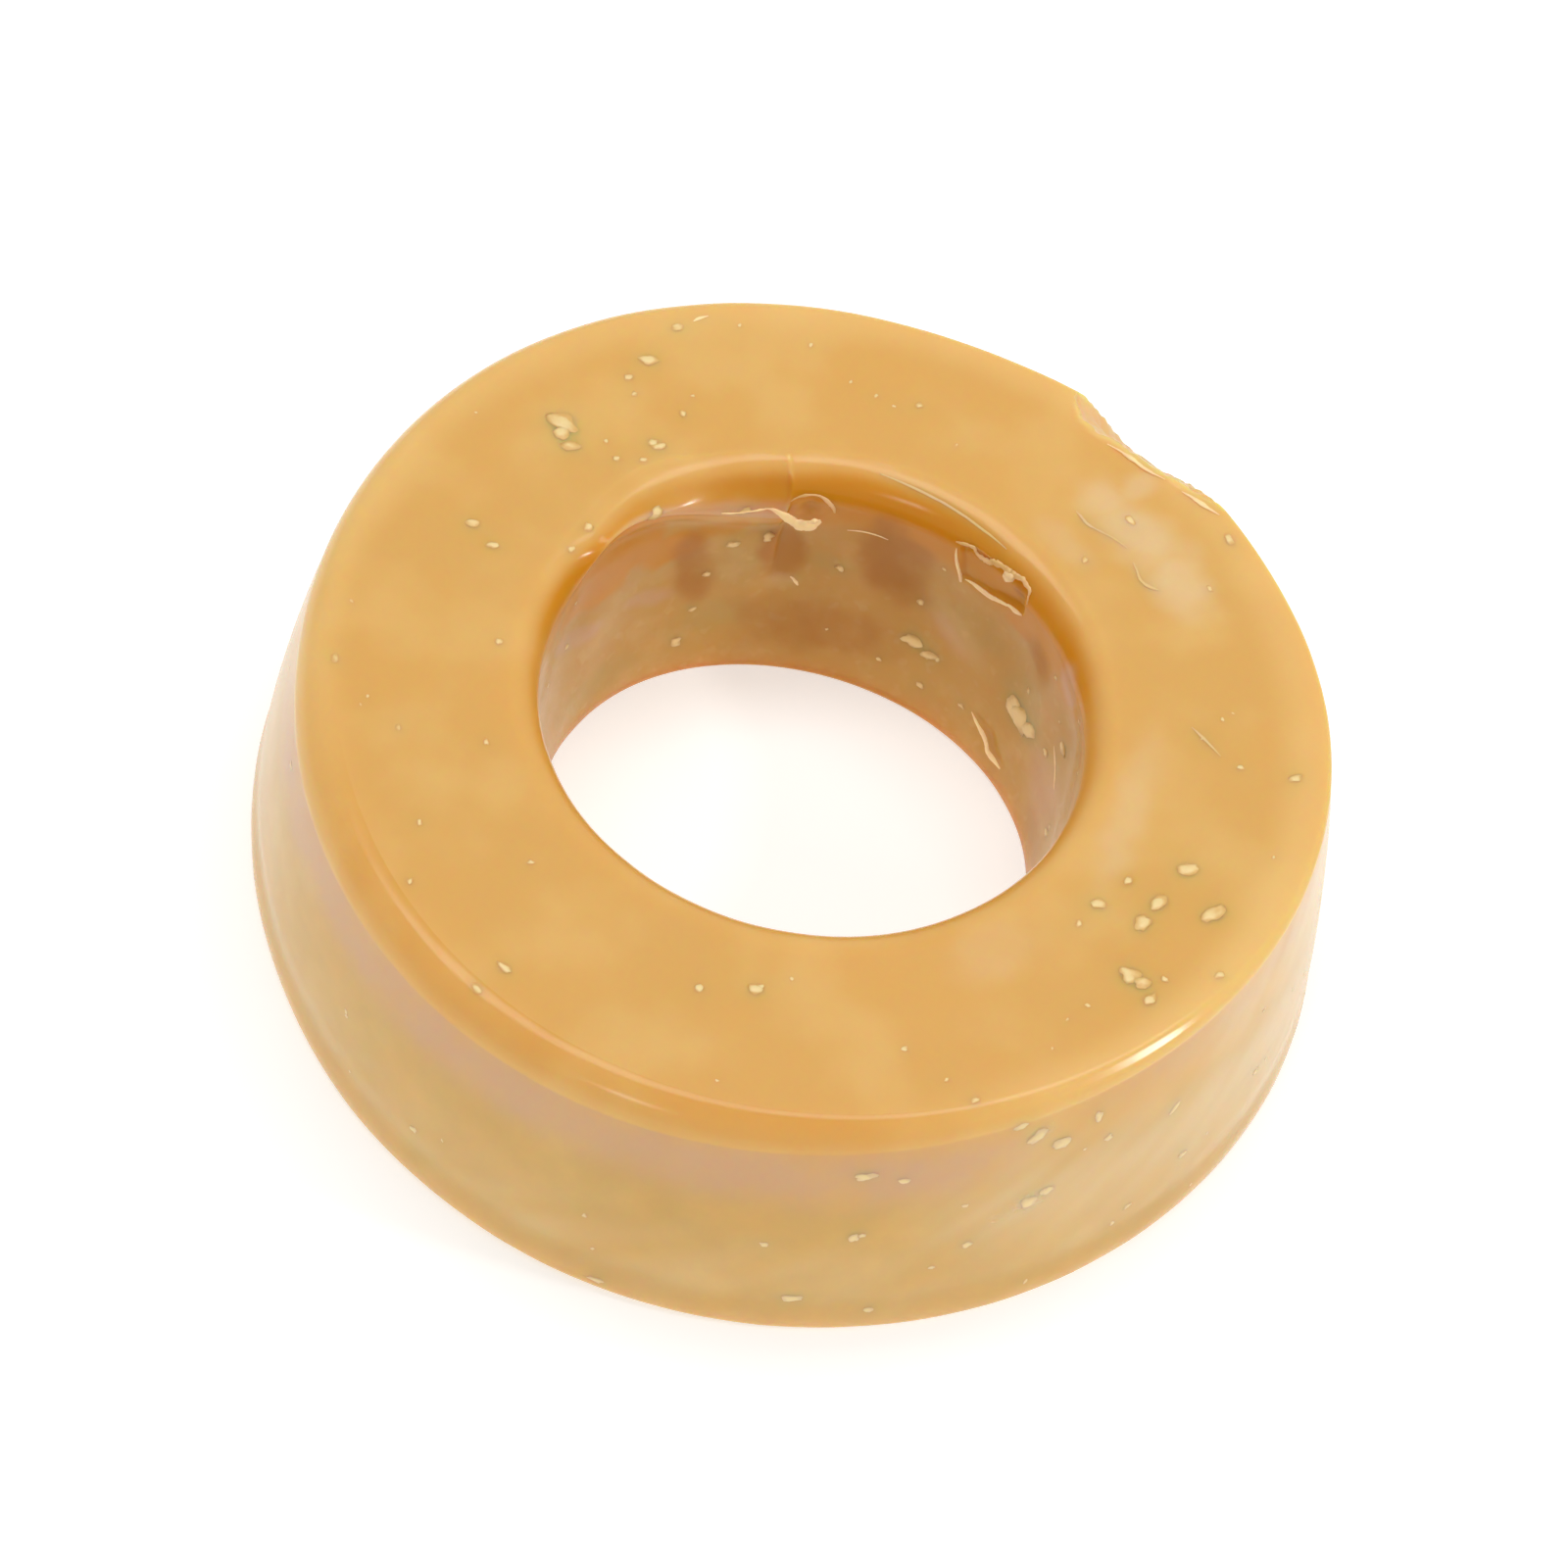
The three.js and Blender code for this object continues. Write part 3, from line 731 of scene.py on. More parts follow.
# Torn strips that stand free in the bore, whose points are an angle, a height, a radius and a width
STRIPS = {
    "torn_flap": ("air", 0.4, 0.3, [
        (111, 23.6, 24.6, 0.1), (110, 23.65, 24.5, 0.2), (108.9, 23.5, 24.45, 0.42),
        (107.1, 22.9, 24.45, 0.68), (105.4, 22.3, 24.45, 0.88), (103.6, 21.7, 24.45, 1.05),
        (102, 21.35, 24.45, 1.15), (100.2, 21.4, 24.45, 1.05), (99, 21.75, 24.5, 0.85),
        (97.9, 22, 24.7, 0.35)]),
    "flap_nick": ("air", 0.9, 0.4, [
        (101, 22.2, 24.1, 0.15), (100.2, 22.45, 24.05, 0.4), (99.4, 22.65, 24.05, 0.5),
        (98.6, 22.6, 24.15, 0.2)]),
    "torn_curl": ("air", 0.4, 0.3, [
        (51.9, 5.6, 24.5, 0.1), (49.5, 5.2, 24.3, 0.35), (47.5, 5.0, 24.2, 0.5), (45.6, 4.8, 24.1, 0.5),
        (44.4, 4.3, 24.1, 0.45), (43.2, 3.6, 24.1, 0.6), (41, 3.4, 24.2, 0.55), (38.6, 3.1, 24.4, 0.2)]),
}

# A thread's steps between two points of its path, its sides, its least width in millimetres, and the sizes of
# its lumps and of its wobble
THREAD_STEPS = 8
THREAD_SIDES = 10
THREAD_LEAST = 0.05
THREAD_LUMP = 0.9 * MM
THREAD_WOBBLE = 0.35 * MM


def section_angles():
    """Angles of the ring's sections, closest together where the damage is"""
    runs = [np.arange(start, end - spacing / 2, spacing) for start, end, spacing in ANGLE_STRETCHES]
    return np.concatenate(runs) % 360


def grid_normals(grid):
    """Outward directions of a grid that is closed both ways"""
    around = np.roll(grid, -1, axis=0) - np.roll(grid, 1, axis=0)
    along = np.roll(grid, -1, axis=1) - np.roll(grid, 1, axis=1)
    out = np.cross(around, along)
    return out / np.linalg.norm(out, axis=2, keepdims=True)


def cut_gouge(points, form, around, ragged):
    """Moves the points beyond the gouge's slanting face onto it, and crumples them there.

    Gives the points, how fully each is in the gouge, and how near each is to its crest on the top face.
    """
    angles, into, down = np.array(GOUGE).T
    depth = form.damage.gouge_depth * MM
    into, down = (depth * np.interp(around, angles, depths) for depths in (into, down))
    cut = np.minimum(into, down) > GOUGE_LEAST
    top = form.outer_radius(around, HEIGHT) - into + GOUGE_RAGGED * ragged
    across = form.outer_radius(around, HEIGHT - down) - top
    slant = np.hypot(across, down) + 1e-9
    radius = np.hypot(points[:, 0], points[:, 1])
    out, up = radius - top, points[:, 2] - HEIGHT
    along = np.clip((out * across - up * down) / slant ** 2, 0, 1)
    near = cut & (out > -MM) & (up > -GOUGE_REACH)
    crumple = np.zeros(len(points))
    crumple[near] = sum(height * speckle(points[near], size, seed) for height, size, seed in GOUGE_CRUMPLES)
    beyond = (out * down + up * across) / slant + 4 * GOUGE_HOLLOW * along * (1 - along) + crumple
    beyond = np.where(near, beyond, -MM)
    sink = np.maximum(beyond, 0)
    scale = (radius - sink * down / slant) / radius
    points = points * np.stack([scale, scale, np.ones_like(scale)], axis=1)
    points[:, 2] -= sink * across / slant
    crest = bell(out, *CREST_PLACE) * (up > -CREST_DEPTH) * rise(into, *CREST_START)
    return points, rise(beyond, -GOUGE_EDGE, GOUGE_EDGE), crest


def height_between(around, right, left):
    """Height at each angle of the line between two corners"""
    return np.interp(around, (right[0], left[0]), (right[1], left[1]))


def angle_between(z, low, high):
    """Angle at each height of the line between two corners"""
    return np.interp(z, (low[1], high[1]), (low[0], high[0]))


def chip_shares(around, z, ragged):
    """How deep in the chip each point in the bore is: 1 inside, 0 outside"""
    left_top, right_top, right_foot, left_foot = CHIP_CORNERS
    z = z / MM
    upper = height_between(around, right_top, left_top) + CHIP_UNEVEN["upper"] * ragged
    lower = height_between(around, right_foot, left_foot) + CHIP_UNEVEN["lower"] * ragged
    left = angle_between(z, left_foot, left_top) + CHIP_UNEVEN["left"] * ragged
    right = angle_between(z, right_foot, right_top) + CHIP_UNEVEN["right"] * ragged
    inside = np.minimum(rise(upper - z, 0, 0.5), rise(z - lower, 0, 0.7))
    return inside * rise(left - around, 0, 1.6) * rise(around - right, 0, 1.2)


class SurfacePoints:
    """The undamaged ring's grid points, one section after another, and what each one lies on."""

    def __init__(self, form):
        angle = section_angles()
        radii, heights, columns = form.section(angle)
        turned = np.radians(angle)[:, None]
        self.grid = np.stack([radii * np.cos(turned), radii * np.sin(turned), heights], axis=2)
        self.points = self.grid.reshape(-1, 3)
        self.around = np.repeat(angle, len(columns))
        self.radius = radii.reshape(-1)
        self.z = heights.reshape(-1)
        self.part = np.tile([name for name, _ in columns], len(angle))
        self.share = np.tile([share for _, share in columns], len(angle))
        self.in_bore = self.within("rim", "bore", "foot")
        self.on_wall = self.within("base_edge", "wall")
        self.on_rim = self.within("rim")
        self.on_lip = self.on_rim * (form.slumped(self.around) * (1 - rise(self.around, *LIP_END)))

        self.middle = speckle(self.points, 5 * MM, 4)
        self.small = speckle(self.points, 2.2 * MM, 8)
        self.ragged = self.middle + 0.8 * self.small
        self.line = form.rim_line(self.around)
        self.creased = rise(self.around, *CREASE_START) * (1 - rise(self.around, *CREASE_END))
        self.creased = self.creased * (self.z > HEIGHT - 2 * MM)
        seam_angle = SEAM_ANGLE - SEAM_LEAN * (SEAM_START - self.radius / MM)
        self.seam = bell(self.around, seam_angle, SEAM_SPREAD)
        self.seam = self.seam * (self.radius < SEAM_REACH * MM) * self.on_rim
        self.seam = self.seam * rise(self.z, HEIGHT - 1.8 * MM, HEIGHT - MM)
        self.chip = chip_shares(self.around, self.z, self.middle + self.small) * self.in_bore
        self.pocket = self.in_bore * bell(self.around, *POCKET_ANGLE) * bell(self.z, *POCKET_HEIGHT)

    def within(self, *names):
        """1 where a point belongs to one of the named parts of the section, and 0 elsewhere"""
        return np.isin(self.part, names).astype(float)

    def relief(self, chip_bite):
        """How far each point is raised by the wax's own waves and by the damage, apart from the gouge"""
        relief = (BROAD_WAVES * speckle(self.points, 16 * MM) + MIDDLE_WAVES * self.middle) * MM
        relief += BORE_WAVES * self.middle * (self.part == "bore")
        relief -= WALL_GROOVE * self.on_wall * bell(self.z, *WALL_GROOVE_HEIGHT)
        relief += WALL_BEAD * self.on_wall * bell(self.z, *WALL_BEAD_HEIGHT)
        crease = bell(self.radius, self.line + CREASE_PLACE, CREASE_SPREAD)
        crease = crease * self.creased * (0.8 + 0.6 * self.small)
        relief += (CREASE_HEIGHT * crease + SEAM_HEIGHT * self.seam) * MM
        relief -= LIP_GROOVE * self.on_lip * bell(self.share, *LIP_GROOVE_PLACE)
        relief += (LIP_BEAD + 0.08 * self.small) * MM * self.on_lip * bell(self.share, *LIP_BEAD_PLACE)
        depth = 0.6 + 0.5 * bell(self.around, *CHIP_DEEPEST) + 0.15 * self.small
        relief -= chip_bite * self.chip * depth
        return relief - POCKET_DEPTH * self.pocket


def wall_bands(around, z, streaks):
    """How strongly each mask is painted on the wall, all round it"""
    bands = {}
    for name, start, end, middle, spread, strength in BANDS:
        turn = (around - start + BAND_FADE) % 360
        width = (end - start) + 2 * BAND_FADE
        inside = rise(turn, 0, 2 * BAND_FADE) * (1 - rise(turn, width - 2 * BAND_FADE, width))
        uneven = 1 + STREAK_STRENGTH * streaks * (name == "veil")
        share = strength * inside * bell(z, middle * MM, spread * MM) * uneven
        bands[name] = np.maximum(bands.get(name, 0), share)
    return bands


def wall_streaks(around, z, base_radius):
    """Slanting streaks on the wall, from about -1 to 1"""
    tilt = math.radians(STREAK_TILT)
    arc, up = around * math.pi / 180 * base_radius / MM, z / MM
    lengthwise = arc * math.cos(tilt) + up * math.sin(tilt)
    crosswise = up * math.cos(tilt) - arc * math.sin(tilt)
    return speckle(np.stack([lengthwise / STREAK_LENGTH, crosswise / STREAK_WIDTH, 0 * up], axis=1), 1.0)


def amber_share(around, depth):
    """How strong the painted amber glow is at a depth in metres past the line where the top turns into the
    bore
    """
    reach = AMBER_REACH
    for change, angle, spread in AMBER_REACH_CHANGES:
        reach = reach + change * bell(around, angle, spread)
    far = rise(around, *FAR_RIM_START) * (1 - rise(around, *FAR_RIM_END))
    strength = AMBER_NEAR + AMBER_FAR * far
    for change, angle, spread in AMBER_STRENGTH_CHANGES:
        strength = strength + change * bell(around, angle, spread)
    return strength * rise(depth, *AMBER_START) * (1 - rise(depth, reach, reach + AMBER_FADE))


def painted_masks(form, at, points, gouged, crest):
    """The masks that the wax's material reads at each point"""
    bands = wall_bands(at.around, at.z, wall_streaks(at.around, at.z, form.sizes.base_radius))
    masks = {name: bands.get(name, 0) * at.on_wall for name in PAINTED}

    def paint(name, *layers):
        masks[name] = np.maximum.reduce([masks[name], *layers])

    # Painted amber glow, for light that comes through the wax: on the front of the outer top edge and under
    # the bore's rim
    front_edge = rise(at.around, *FRONT_EDGE_START) * (1 - rise(at.around, *FRONT_EDGE_END))
    turned_edge = (at.part == "top_edge") * at.share * front_edge
    turned_edge = turned_edge + at.on_wall * bell(at.z, HEIGHT, 4 * MM) * front_edge
    masks["amber"] = at.in_bore * amber_share(at.around, at.line - at.radius + HEIGHT - at.z)
    paint("amber", 0.4 * turned_edge)
    for name, face, angle, across, length, width, turn, strength in PATCHES:
        field = spot_field(points, form, face, angle, across, length, width, turn)
        paint(name, strength * rise(field + 0.2 * at.ragged * (field > 0), 0, 0.75))
    # Painted amber glow in the chip and in the pocket behind the flap
    paint("amber", 0.15 * at.chip, 1.3 * at.pocket)
    # Painted highlight along the slumped lip, pinkish and milky
    paint("rose", 0.9 * at.on_lip * bell(at.share, 0.87, 0.15))
    paint("veil", 0.35 * at.on_lip * bell(at.share, 0.92, 0.1))
    paint("bloom", gouged * rise(at.around, 46, 53))
    # Painted shade along the bore's foot
    paint("brown", 0.7 * at.in_bore * (1 - rise(at.z, 0.3 * MM, 1.5 * MM)))
    paint("olive", 0.5 * at.on_wall * (1 - rise(at.z, 17 * MM, 24 * MM)))
    # Painted shade, deeper than a few millimetres under the rim
    masks["shade"] = at.in_bore * rise(HEIGHT - at.z, 3 * MM, 8 * MM)

    # Painted light: a glow near the top's outer edge and along the wall's foot, and painted highlights along
    # the rim's crease, on the seam and on the gouge's crest
    edge = at.within("top", "top_edge") * rise(at.radius, 42 * MM, 46 * MM) * (1 - front_edge)
    edge = edge * (0.8 + 0.5 * bell((at.around - PALE_ANGLE + 180) % 360, 180, PALE_SPREAD))
    foot = at.on_wall * (1 - rise(at.z, 1.5 * MM, 3.5 * MM))
    line = bell(at.radius, at.line + 0.15 * MM, 0.5 * MM) * at.creased
    masks["pale"] = np.clip(edge + 0.7 * foot + 0.15 * line + 0.9 * at.seam + 1.4 * crest, 0, 1.6)
    return masks


def ring_surface(form):
    """Grid points of the damaged ring, and the masks that its material reads at each point"""
    at = SurfacePoints(form)
    relief = at.relief(form.damage.chip_bite)
    points, gouged, crest = cut_gouge(at.points, form, at.around, at.ragged)
    relief += CREST_HEIGHT * crest * (0.8 + 0.9 * at.small) * (1 - gouged)
    points = points + grid_normals(at.grid).reshape(-1, 3) * relief[:, None]
    points[at.part == "base", 2] = 0.0
    masks = painted_masks(form, at, points, gouged, crest)
    return points.reshape(at.grid.shape) - np.array(form.centre), masks


def closed_grid_mesh(name, grid, masks):
    """A closed mesh from a grid whose rows and columns both meet their first again"""
    rows, columns = grid.shape[:2]
    index = np.arange(rows * columns).reshape(rows, columns)
    next_row = np.roll(index, -1, axis=0)
    corners = [index, next_row, np.roll(next_row, -1, axis=1), np.roll(index, -1, axis=1)]
    faces = np.stack(corners, axis=2).reshape(-1, 4)
    mesh = bpy.data.meshes.new(name)
    mesh.from_pydata(grid.reshape(-1, 3).tolist(), [], faces.tolist())
    for mask, values in masks.items():
        mesh.attributes.new(mask, "FLOAT", "POINT").data.foreach_set("value", values.astype(np.float32))
    mesh.polygons.foreach_set("use_smooth", [True] * len(mesh.polygons))
    mesh.update()
    return mesh


def put_piece(mesh, material):
    """Adds a mesh to the scene as a piece that rides on the ring's body"""
    mesh.materials.append(material)
    piece = bpy.data.objects.new(mesh.name, mesh)
    bpy.context.collection.objects.link(piece)
    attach(piece, BODY)
    return piece


def finish_mesh(shape, name):
    """A smooth mesh from a bmesh"""
    bmesh.ops.recalc_face_normals(shape, faces=shape.faces)
    mesh = bpy.data.meshes.new(name)
    shape.to_mesh(mesh)
    shape.free()
    mesh.polygons.foreach_set("use_smooth", [True] * len(mesh.polygons))
    return mesh


class Skin:
    """The finished ring's surface, for what sticks to it."""

    def __init__(self, form):
        self.form = form
        ring = bpy.data.objects[RING_PIECE]
        self.tree = BVHTree.FromObject(ring, bpy.context.evaluated_depsgraph_get())

    def spot(self, face, angle, across):
        """The nearest place on the surface, with the directions along the ring, across the face and out"""
        place, along, over, out = self.form.spot(face, angle, across * MM)
        landed, normal, _, _ = self.tree.find_nearest(place - self.form.centre)
        normal = normal if normal.dot(out) > 0 else out
        over = normal.cross(along).normalized() * (1 if normal.cross(along).dot(over) > 0 else -1)
        return landed, along, over, normal

    def free_spot(self, angle, height, radius):
        """A place in the bore's open space, facing the axis and a little upwards"""
        turn = math.radians(angle)
        out = Vector((math.cos(turn), math.sin(turn), 0))
        along = Vector((-math.sin(turn), math.cos(turn), 0))
        place = out * radius * MM + Vector((0, 0, height * MM)) - self.form.centre
        return place, along, Vector((0, 0, 1)), (Vector((0, 0, 0.5)) - out).normalized()


def add_lump(shape, skin, face, angle, across, length, width, turn, seed):
    """Adds one crumb to a bmesh: a flattened, uneven ball that is mostly sunk in a face.

    Its points carry how far in from its edge they are, and what the wax under it looks like.
    """
    core, shade, veil = (shape.verts.layers.float[name] for name in CRUMB_MASKS)
    centre, along, over, out = skin.spot(face, angle, across)
    tilt = math.radians(turn)
    long_way = along * math.cos(tilt) + over * math.sin(tilt)
    short_way = over * math.cos(tilt) - along * math.sin(tilt)
    length, width = CRUMB_SPREAD * length, CRUMB_SPREAD * width
    height = CRUMB_HEIGHT * min(length, width)
    axes = Matrix((long_way, short_way, out)).transposed()
    offset = Vector((seed, seed, seed))
    made = bmesh.ops.create_icosphere(shape, subdivisions=3, radius=1)
    for vertex in made["verts"]:
        x, y, z = vertex.co
        spread = 1
        for share, frequency in CRUMB_UNEVEN:
            spread += share * noise.noise(vertex.co * frequency + offset)
        depth = z * (0.6 + 0.4 * spread) - CRUMB_SINK
        local = Vector((x * spread * length / 2, y * spread * width / 2, depth * height)) * MM
        vertex[core] = min(max(depth / (1 - CRUMB_SINK), 0), 1)
        vertex[shade] = float(face == "bore")
        vertex[veil] = float(face == "wall")
        vertex.co = centre + axes @ local


def curve_through(values, place):
    """The value at a place along a smooth curve through a list of tuples"""
    first = min(int(place), len(values) - 2)
    share = place - first
    picks = [np.array(values[min(max(first + step, 0), len(values) - 1)]) for step in (-1, 0, 1, 2)]
    before, here, after, beyond = picks
    return here + 0.5 * share * (after - before + share * (
        2 * before - 5 * here + 4 * after - beyond + share * (3 * (here - after) + beyond - before)))


def thread_places(skin, face, path):
    """Centre, outward direction and width at each step along a smoothed path"""
    places = []
    for step in range((len(path) - 1) * THREAD_STEPS + 1):
        angle, across, stand, width = curve_through(path, step / THREAD_STEPS)
        if face == "air":
            landed, _, _, normal = skin.free_spot(angle, across, stand)
        else:
            landed, _, _, normal = skin.spot(face, angle, across)
            landed += normal * stand * MM
        places.append((landed, normal, max(width, THREAD_LEAST) * MM))
    return places


def thread_mesh(name, skin, face, flatness, ragged, path):
    """A raised thread of wax along a path, closed at both ends"""
    places = thread_places(skin, face, path)
    last = len(places) - 1
    shape = bmesh.new()
    rings = []
    for step, (centre, normal, width) in enumerate(places):
        run = (places[min(step + 1, last)][0] - places[max(step - 1, 0)][0]).normalized()
        side = run.cross(normal).normalized()
        lumpy = 1 + ragged * noise.noise(centre / THREAD_LUMP)
        ring = []
        for corner in range(THREAD_SIDES):
            turn = 2 * math.pi * corner / THREAD_SIDES
            offset = side * math.cos(turn) * width + normal * math.sin(turn) * width * flatness
            wobble = lumpy + 0.5 * ragged * noise.noise((centre + offset) / THREAD_WOBBLE)
            ring.append(shape.verts.new(centre + offset * wobble / 2))
        rings.append(ring)
    for ring, following in zip(rings, rings[1:]):
        for corner in range(THREAD_SIDES):
            after = (corner + 1) % THREAD_SIDES
            shape.faces.new((ring[corner], ring[after], following[after], following[corner]))
    shape.faces.new(rings[0])
    shape.faces.new(rings[-1])
    return finish_mesh(shape, name)


# How light spreads in the thick wax and in thin pieces of it
THICK_WAX = {
    "IOR": 1.45,
    "Specular IOR Level": 0.3,
    "Subsurface Weight": 1.0,
    "Subsurface Radius": (1.0, 0.42, 0.12),
    "Subsurface Scale": 3.5 * MM,
}
THIN_WAX = {
    "IOR": 1.45,
    "Subsurface Weight": 0.3,
    "Subsurface Radius": (1.0, 0.5, 0.25),
    "Subsurface Scale": 0.1 * MM,
}
CREASE_WAX = THIN_WAX | {"Specular IOR Level": 0.2}

# Dull creases and pale scraps also glow faintly, with the light that the ring passes on to them
DULL_WAX = THIN_WAX | {
    "Specular IOR Level": 0.15,
    "Emission Color": (0.95, 0.5, 0.2, 1),
    "Emission Strength": 0.1,
}
THIN_SCRAP = THIN_WAX | {"Emission Color": (0.95, 0.78, 0.48, 1), "Emission Strength": 0.16}

# How deep the bump is in the thick wax and in thin pieces of it
WAX_BUMP = 0.3 * MM
CREASE_BUMP = 0.08 * MM
SCRAP_BUMP = 0.1 * MM


def wax_material(look):
    """Amber wax: painted amber glow under the rim, painted brown shade and olive in the bore's hollows, pale
    where scuffed
    """
    shader = Shader("amber_wax")
    broad = shader.mottle(25 * MM, 2)
    cloud = shader.mottle(5 * MM, 4, 0.55, offset=3.0)
    grain = shader.mottle(0.8 * MM, 4, 0.6)
    fine = shader.mottle(0.25 * MM, 2, 0.5)
    wander = (cloud - 0.5) * 1.4
    haze = shader.mottle(4 * MM, 3, 0.6, offset=11.0)
    spots = shader.mottle(1.6 * MM, 1, 0.5, offset=17.0)
    blotch = shader.mottle(10 * MM, 2, 0.5, offset=23.0)

    def patch(name, strength, uneven=1.0):
        return (shader.painted(name) * (1 + wander * uneven)).step(0.02, 1.0) * strength

    colour = shader.blend(broad.step(0.3, 0.7) * 0.5, look.wax_colour, look.warm_colour)
    colour = shader.blend(blotch.step(0.4, 0.7) * 0.35, colour, look.pale_colour)
    # Painted glow and highlights
    colour = shader.blend((shader.painted("pale") * 0.6).least(1.0), colour, look.pale_colour)
    # Painted shade low in the bore
    colour = shader.blend(shader.painted("shade") * 0.6, colour, look.shade_colour)
    colour = shader.blend(patch("olive", 0.7), colour, look.olive_colour)
    dusty = (haze.step(0.45, 0.75) + spots.step(0.62, 0.72) * 0.8) * shader.painted("shade") * 0.4
    colour = shader.blend(dusty.least(1.0), colour, look.dust_colour)
    # Painted amber glow for light that comes through the wax
    colour = shader.blend(patch("amber", 1.0, 0.3), colour, look.amber_colour)
    # Painted brown shade in the bore's hollows
    colour = shader.blend(patch("brown", 0.8), colour, look.brown_shade_colour)
    # Painted pinkish sheen
    colour = shader.blend(patch("rose", 0.7), colour, look.rose_sheen_colour)
    # Painted milky sheen, and the smears
    veil = shader.painted("veil") * (1 + wander * 0.4)
    colour = shader.blend((veil * 0.8).least(1.0), colour, look.smear_and_sheen_colour)
    scuffed = (shader.painted("bloom") + (grain - 0.5) * 0.5).step(0.2, 0.9)
    colour = shader.blend(scuffed * 0.7, colour, look.bloom_colour)
    roughness = 0.17 + (cloud - 0.5) * 0.06 + scuffed * 0.15 + veil * 0.06
    height = cloud * (0.06 + shader.painted("shade") * 0.3)
    height = height + grain * (scuffed * 0.5 + veil * 0.06)
    height = height + fine * scuffed * 0.08
    return shader.finish(colour, roughness, height, WAX_BUMP, THICK_WAX)


# Wax of the thin pieces: the size of its mottle and the levels between which that rises, its two colours, its
# roughness and what the mottle adds to it, its bump, and how light spreads in it
THIN_LOOKS = {
    "crease_wax": (2.5 * MM, 0.3, 0.7, "pale_colour", "bloom_colour", 0.3, 0.08, CREASE_BUMP, CREASE_WAX),
    "dull_crease_wax": (1.5 * MM, 0.35, 0.65, "dust_colour", "bloom_colour", 0.4, 0.1, CREASE_BUMP, DULL_WAX),
    "scrap_wax": (1.2 * MM, 0.35, 0.65, "bloom_colour", "crumb_colour", 0.2, 0.1, SCRAP_BUMP, THIN_SCRAP),
}


def thin_material(name, look):
    """Wax of a crease, a burr or a torn strip"""
    size, low, high, first, second, roughness, uneven, bump, constants = THIN_LOOKS[name]
    shader = Shader(name)
    cloud = shader.mottle(size, 3)
    colour = shader.blend(cloud.step(low, high), getattr(look, first), getattr(look, second))
    return shader.finish(colour, roughness + cloud * uneven, cloud, bump, constants)


def crumb_material(look):
    """Pale wax of the crumbs, which fades into the wax around them at their edges"""
    shader = Shader("crumb_wax")
    cloud = shader.mottle(1.2 * MM, 3)
    bed = shader.blend(shader.painted("shade"), look.wax_colour, look.dust_colour)
    # Crumbs on the wall sit on its painted milky sheen
    bed = shader.blend(shader.painted("veil") * 0.6, bed, look.smear_and_sheen_colour)
    thick = (shader.painted("core") + (cloud - 0.5) * 1.2).step(0.1, 1.0)
    colour = shader.blend(thick, bed, look.crumb_colour)
    return shader.finish(colour, 0.28 + cloud * 0.1, cloud, SCRAP_BUMP, THIN_WAX)


def scene_form():
    """The ring's form from the scene's own settings"""
    scene = bpy.context.scene
    return RingForm(scene.wax_ring_sizes, scene.wax_ring_damage)


class WAXRING_OT_ring(bpy.types.Operator):
    """Make the ring itself"""

    bl_idname = "wax_ring.ring"
    bl_label = "Ring"

    def execute(self, context):
        grid, masks = ring_surface(scene_form())
        mesh = closed_grid_mesh(RING_PIECE, grid, masks)
        ring = put_piece(mesh, wax_material(context.scene.wax_ring_look))
        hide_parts(RING_NODE)
        return {"FINISHED"}


class WAXRING_OT_crumbs(bpy.types.Operator):
    """Make the crumbs and dust that stick to the wax"""

    bl_idname = "wax_ring.crumbs"
    bl_label = "Crumbs"

    def execute(self, context):
        skin = Skin(scene_form())
        shape = bmesh.new()
        for name in CRUMB_MASKS:
            shape.verts.layers.float.new(name)
        crumbs = [(face, *crumb) for face, rows in CRUMBS for crumb in rows]
        for seed, crumb in enumerate(crumbs):
            add_lump(shape, skin, *crumb, seed * CRUMB_SHIFT)
        random = np.random.default_rng(DUST_SEED)
        for seed in range(DUST_COUNT):
            face = list(DUST_REACH)[seed % len(DUST_REACH)]
            angle = random.uniform(0, 360)
            across = random.uniform(*DUST_REACH[face])
            size = random.uniform(*DUST_SIZE)
            turn = random.uniform(0, 180)
            add_lump(shape, skin, face, angle, across, size * DUST_LENGTH, size, turn, seed * DUST_SHIFT)
        mesh = finish_mesh(shape, "wax_crumbs")
        put_piece(mesh, crumb_material(context.scene.wax_ring_look))
        return {"FINISHED"}


class WAXRING_OT_creases(bpy.types.Operator):
    """Make the soft creases on the top face and round the pocket and the chip in the bore"""

    bl_idname = "wax_ring.creases"
    bl_label = "Creases"

    def execute(self, context):
        skin = Skin(scene_form())
        look = context.scene.wax_ring_look
        pale = thin_material("crease_wax", look)
        dull = thin_material("dull_crease_wax", look)
        for name, crease in CREASES.items():
            put_piece(thread_mesh(name, skin, *crease), dull if crease[0] == "bore" else pale)
        return {"FINISHED"}


class WAXRING_OT_burrs(bpy.types.Operator):
    """Make the pale burrs, the scratches, the torn flap and the curl"""

    bl_idname = "wax_ring.burrs"
    bl_label = "Burrs and torn strips"

    def execute(self, context):
        skin = Skin(scene_form())
        scrap = thin_material("scrap_wax", context.scene.wax_ring_look)
        for name, burr in (BURRS | STRIPS).items():
            put_piece(thread_mesh(name, skin, *burr), scrap)
        return {"FINISHED"}


# Soft lights: place, width, depth and radiance, and the point that they all face
SOFTBOXES = {
    "softbox_above": ((-0.07, 0.17, 0.67), 0.60, 0.20, 4.6),
    "softbox_right": ((0.60, -0.04, 0.53), 0.07, 0.07, 70),
    "softbox_front": ((-0.20, -0.72, 0.60), 0.14, 0.14, 9),
}
LIT_POINT = (0, 0, 0.012)

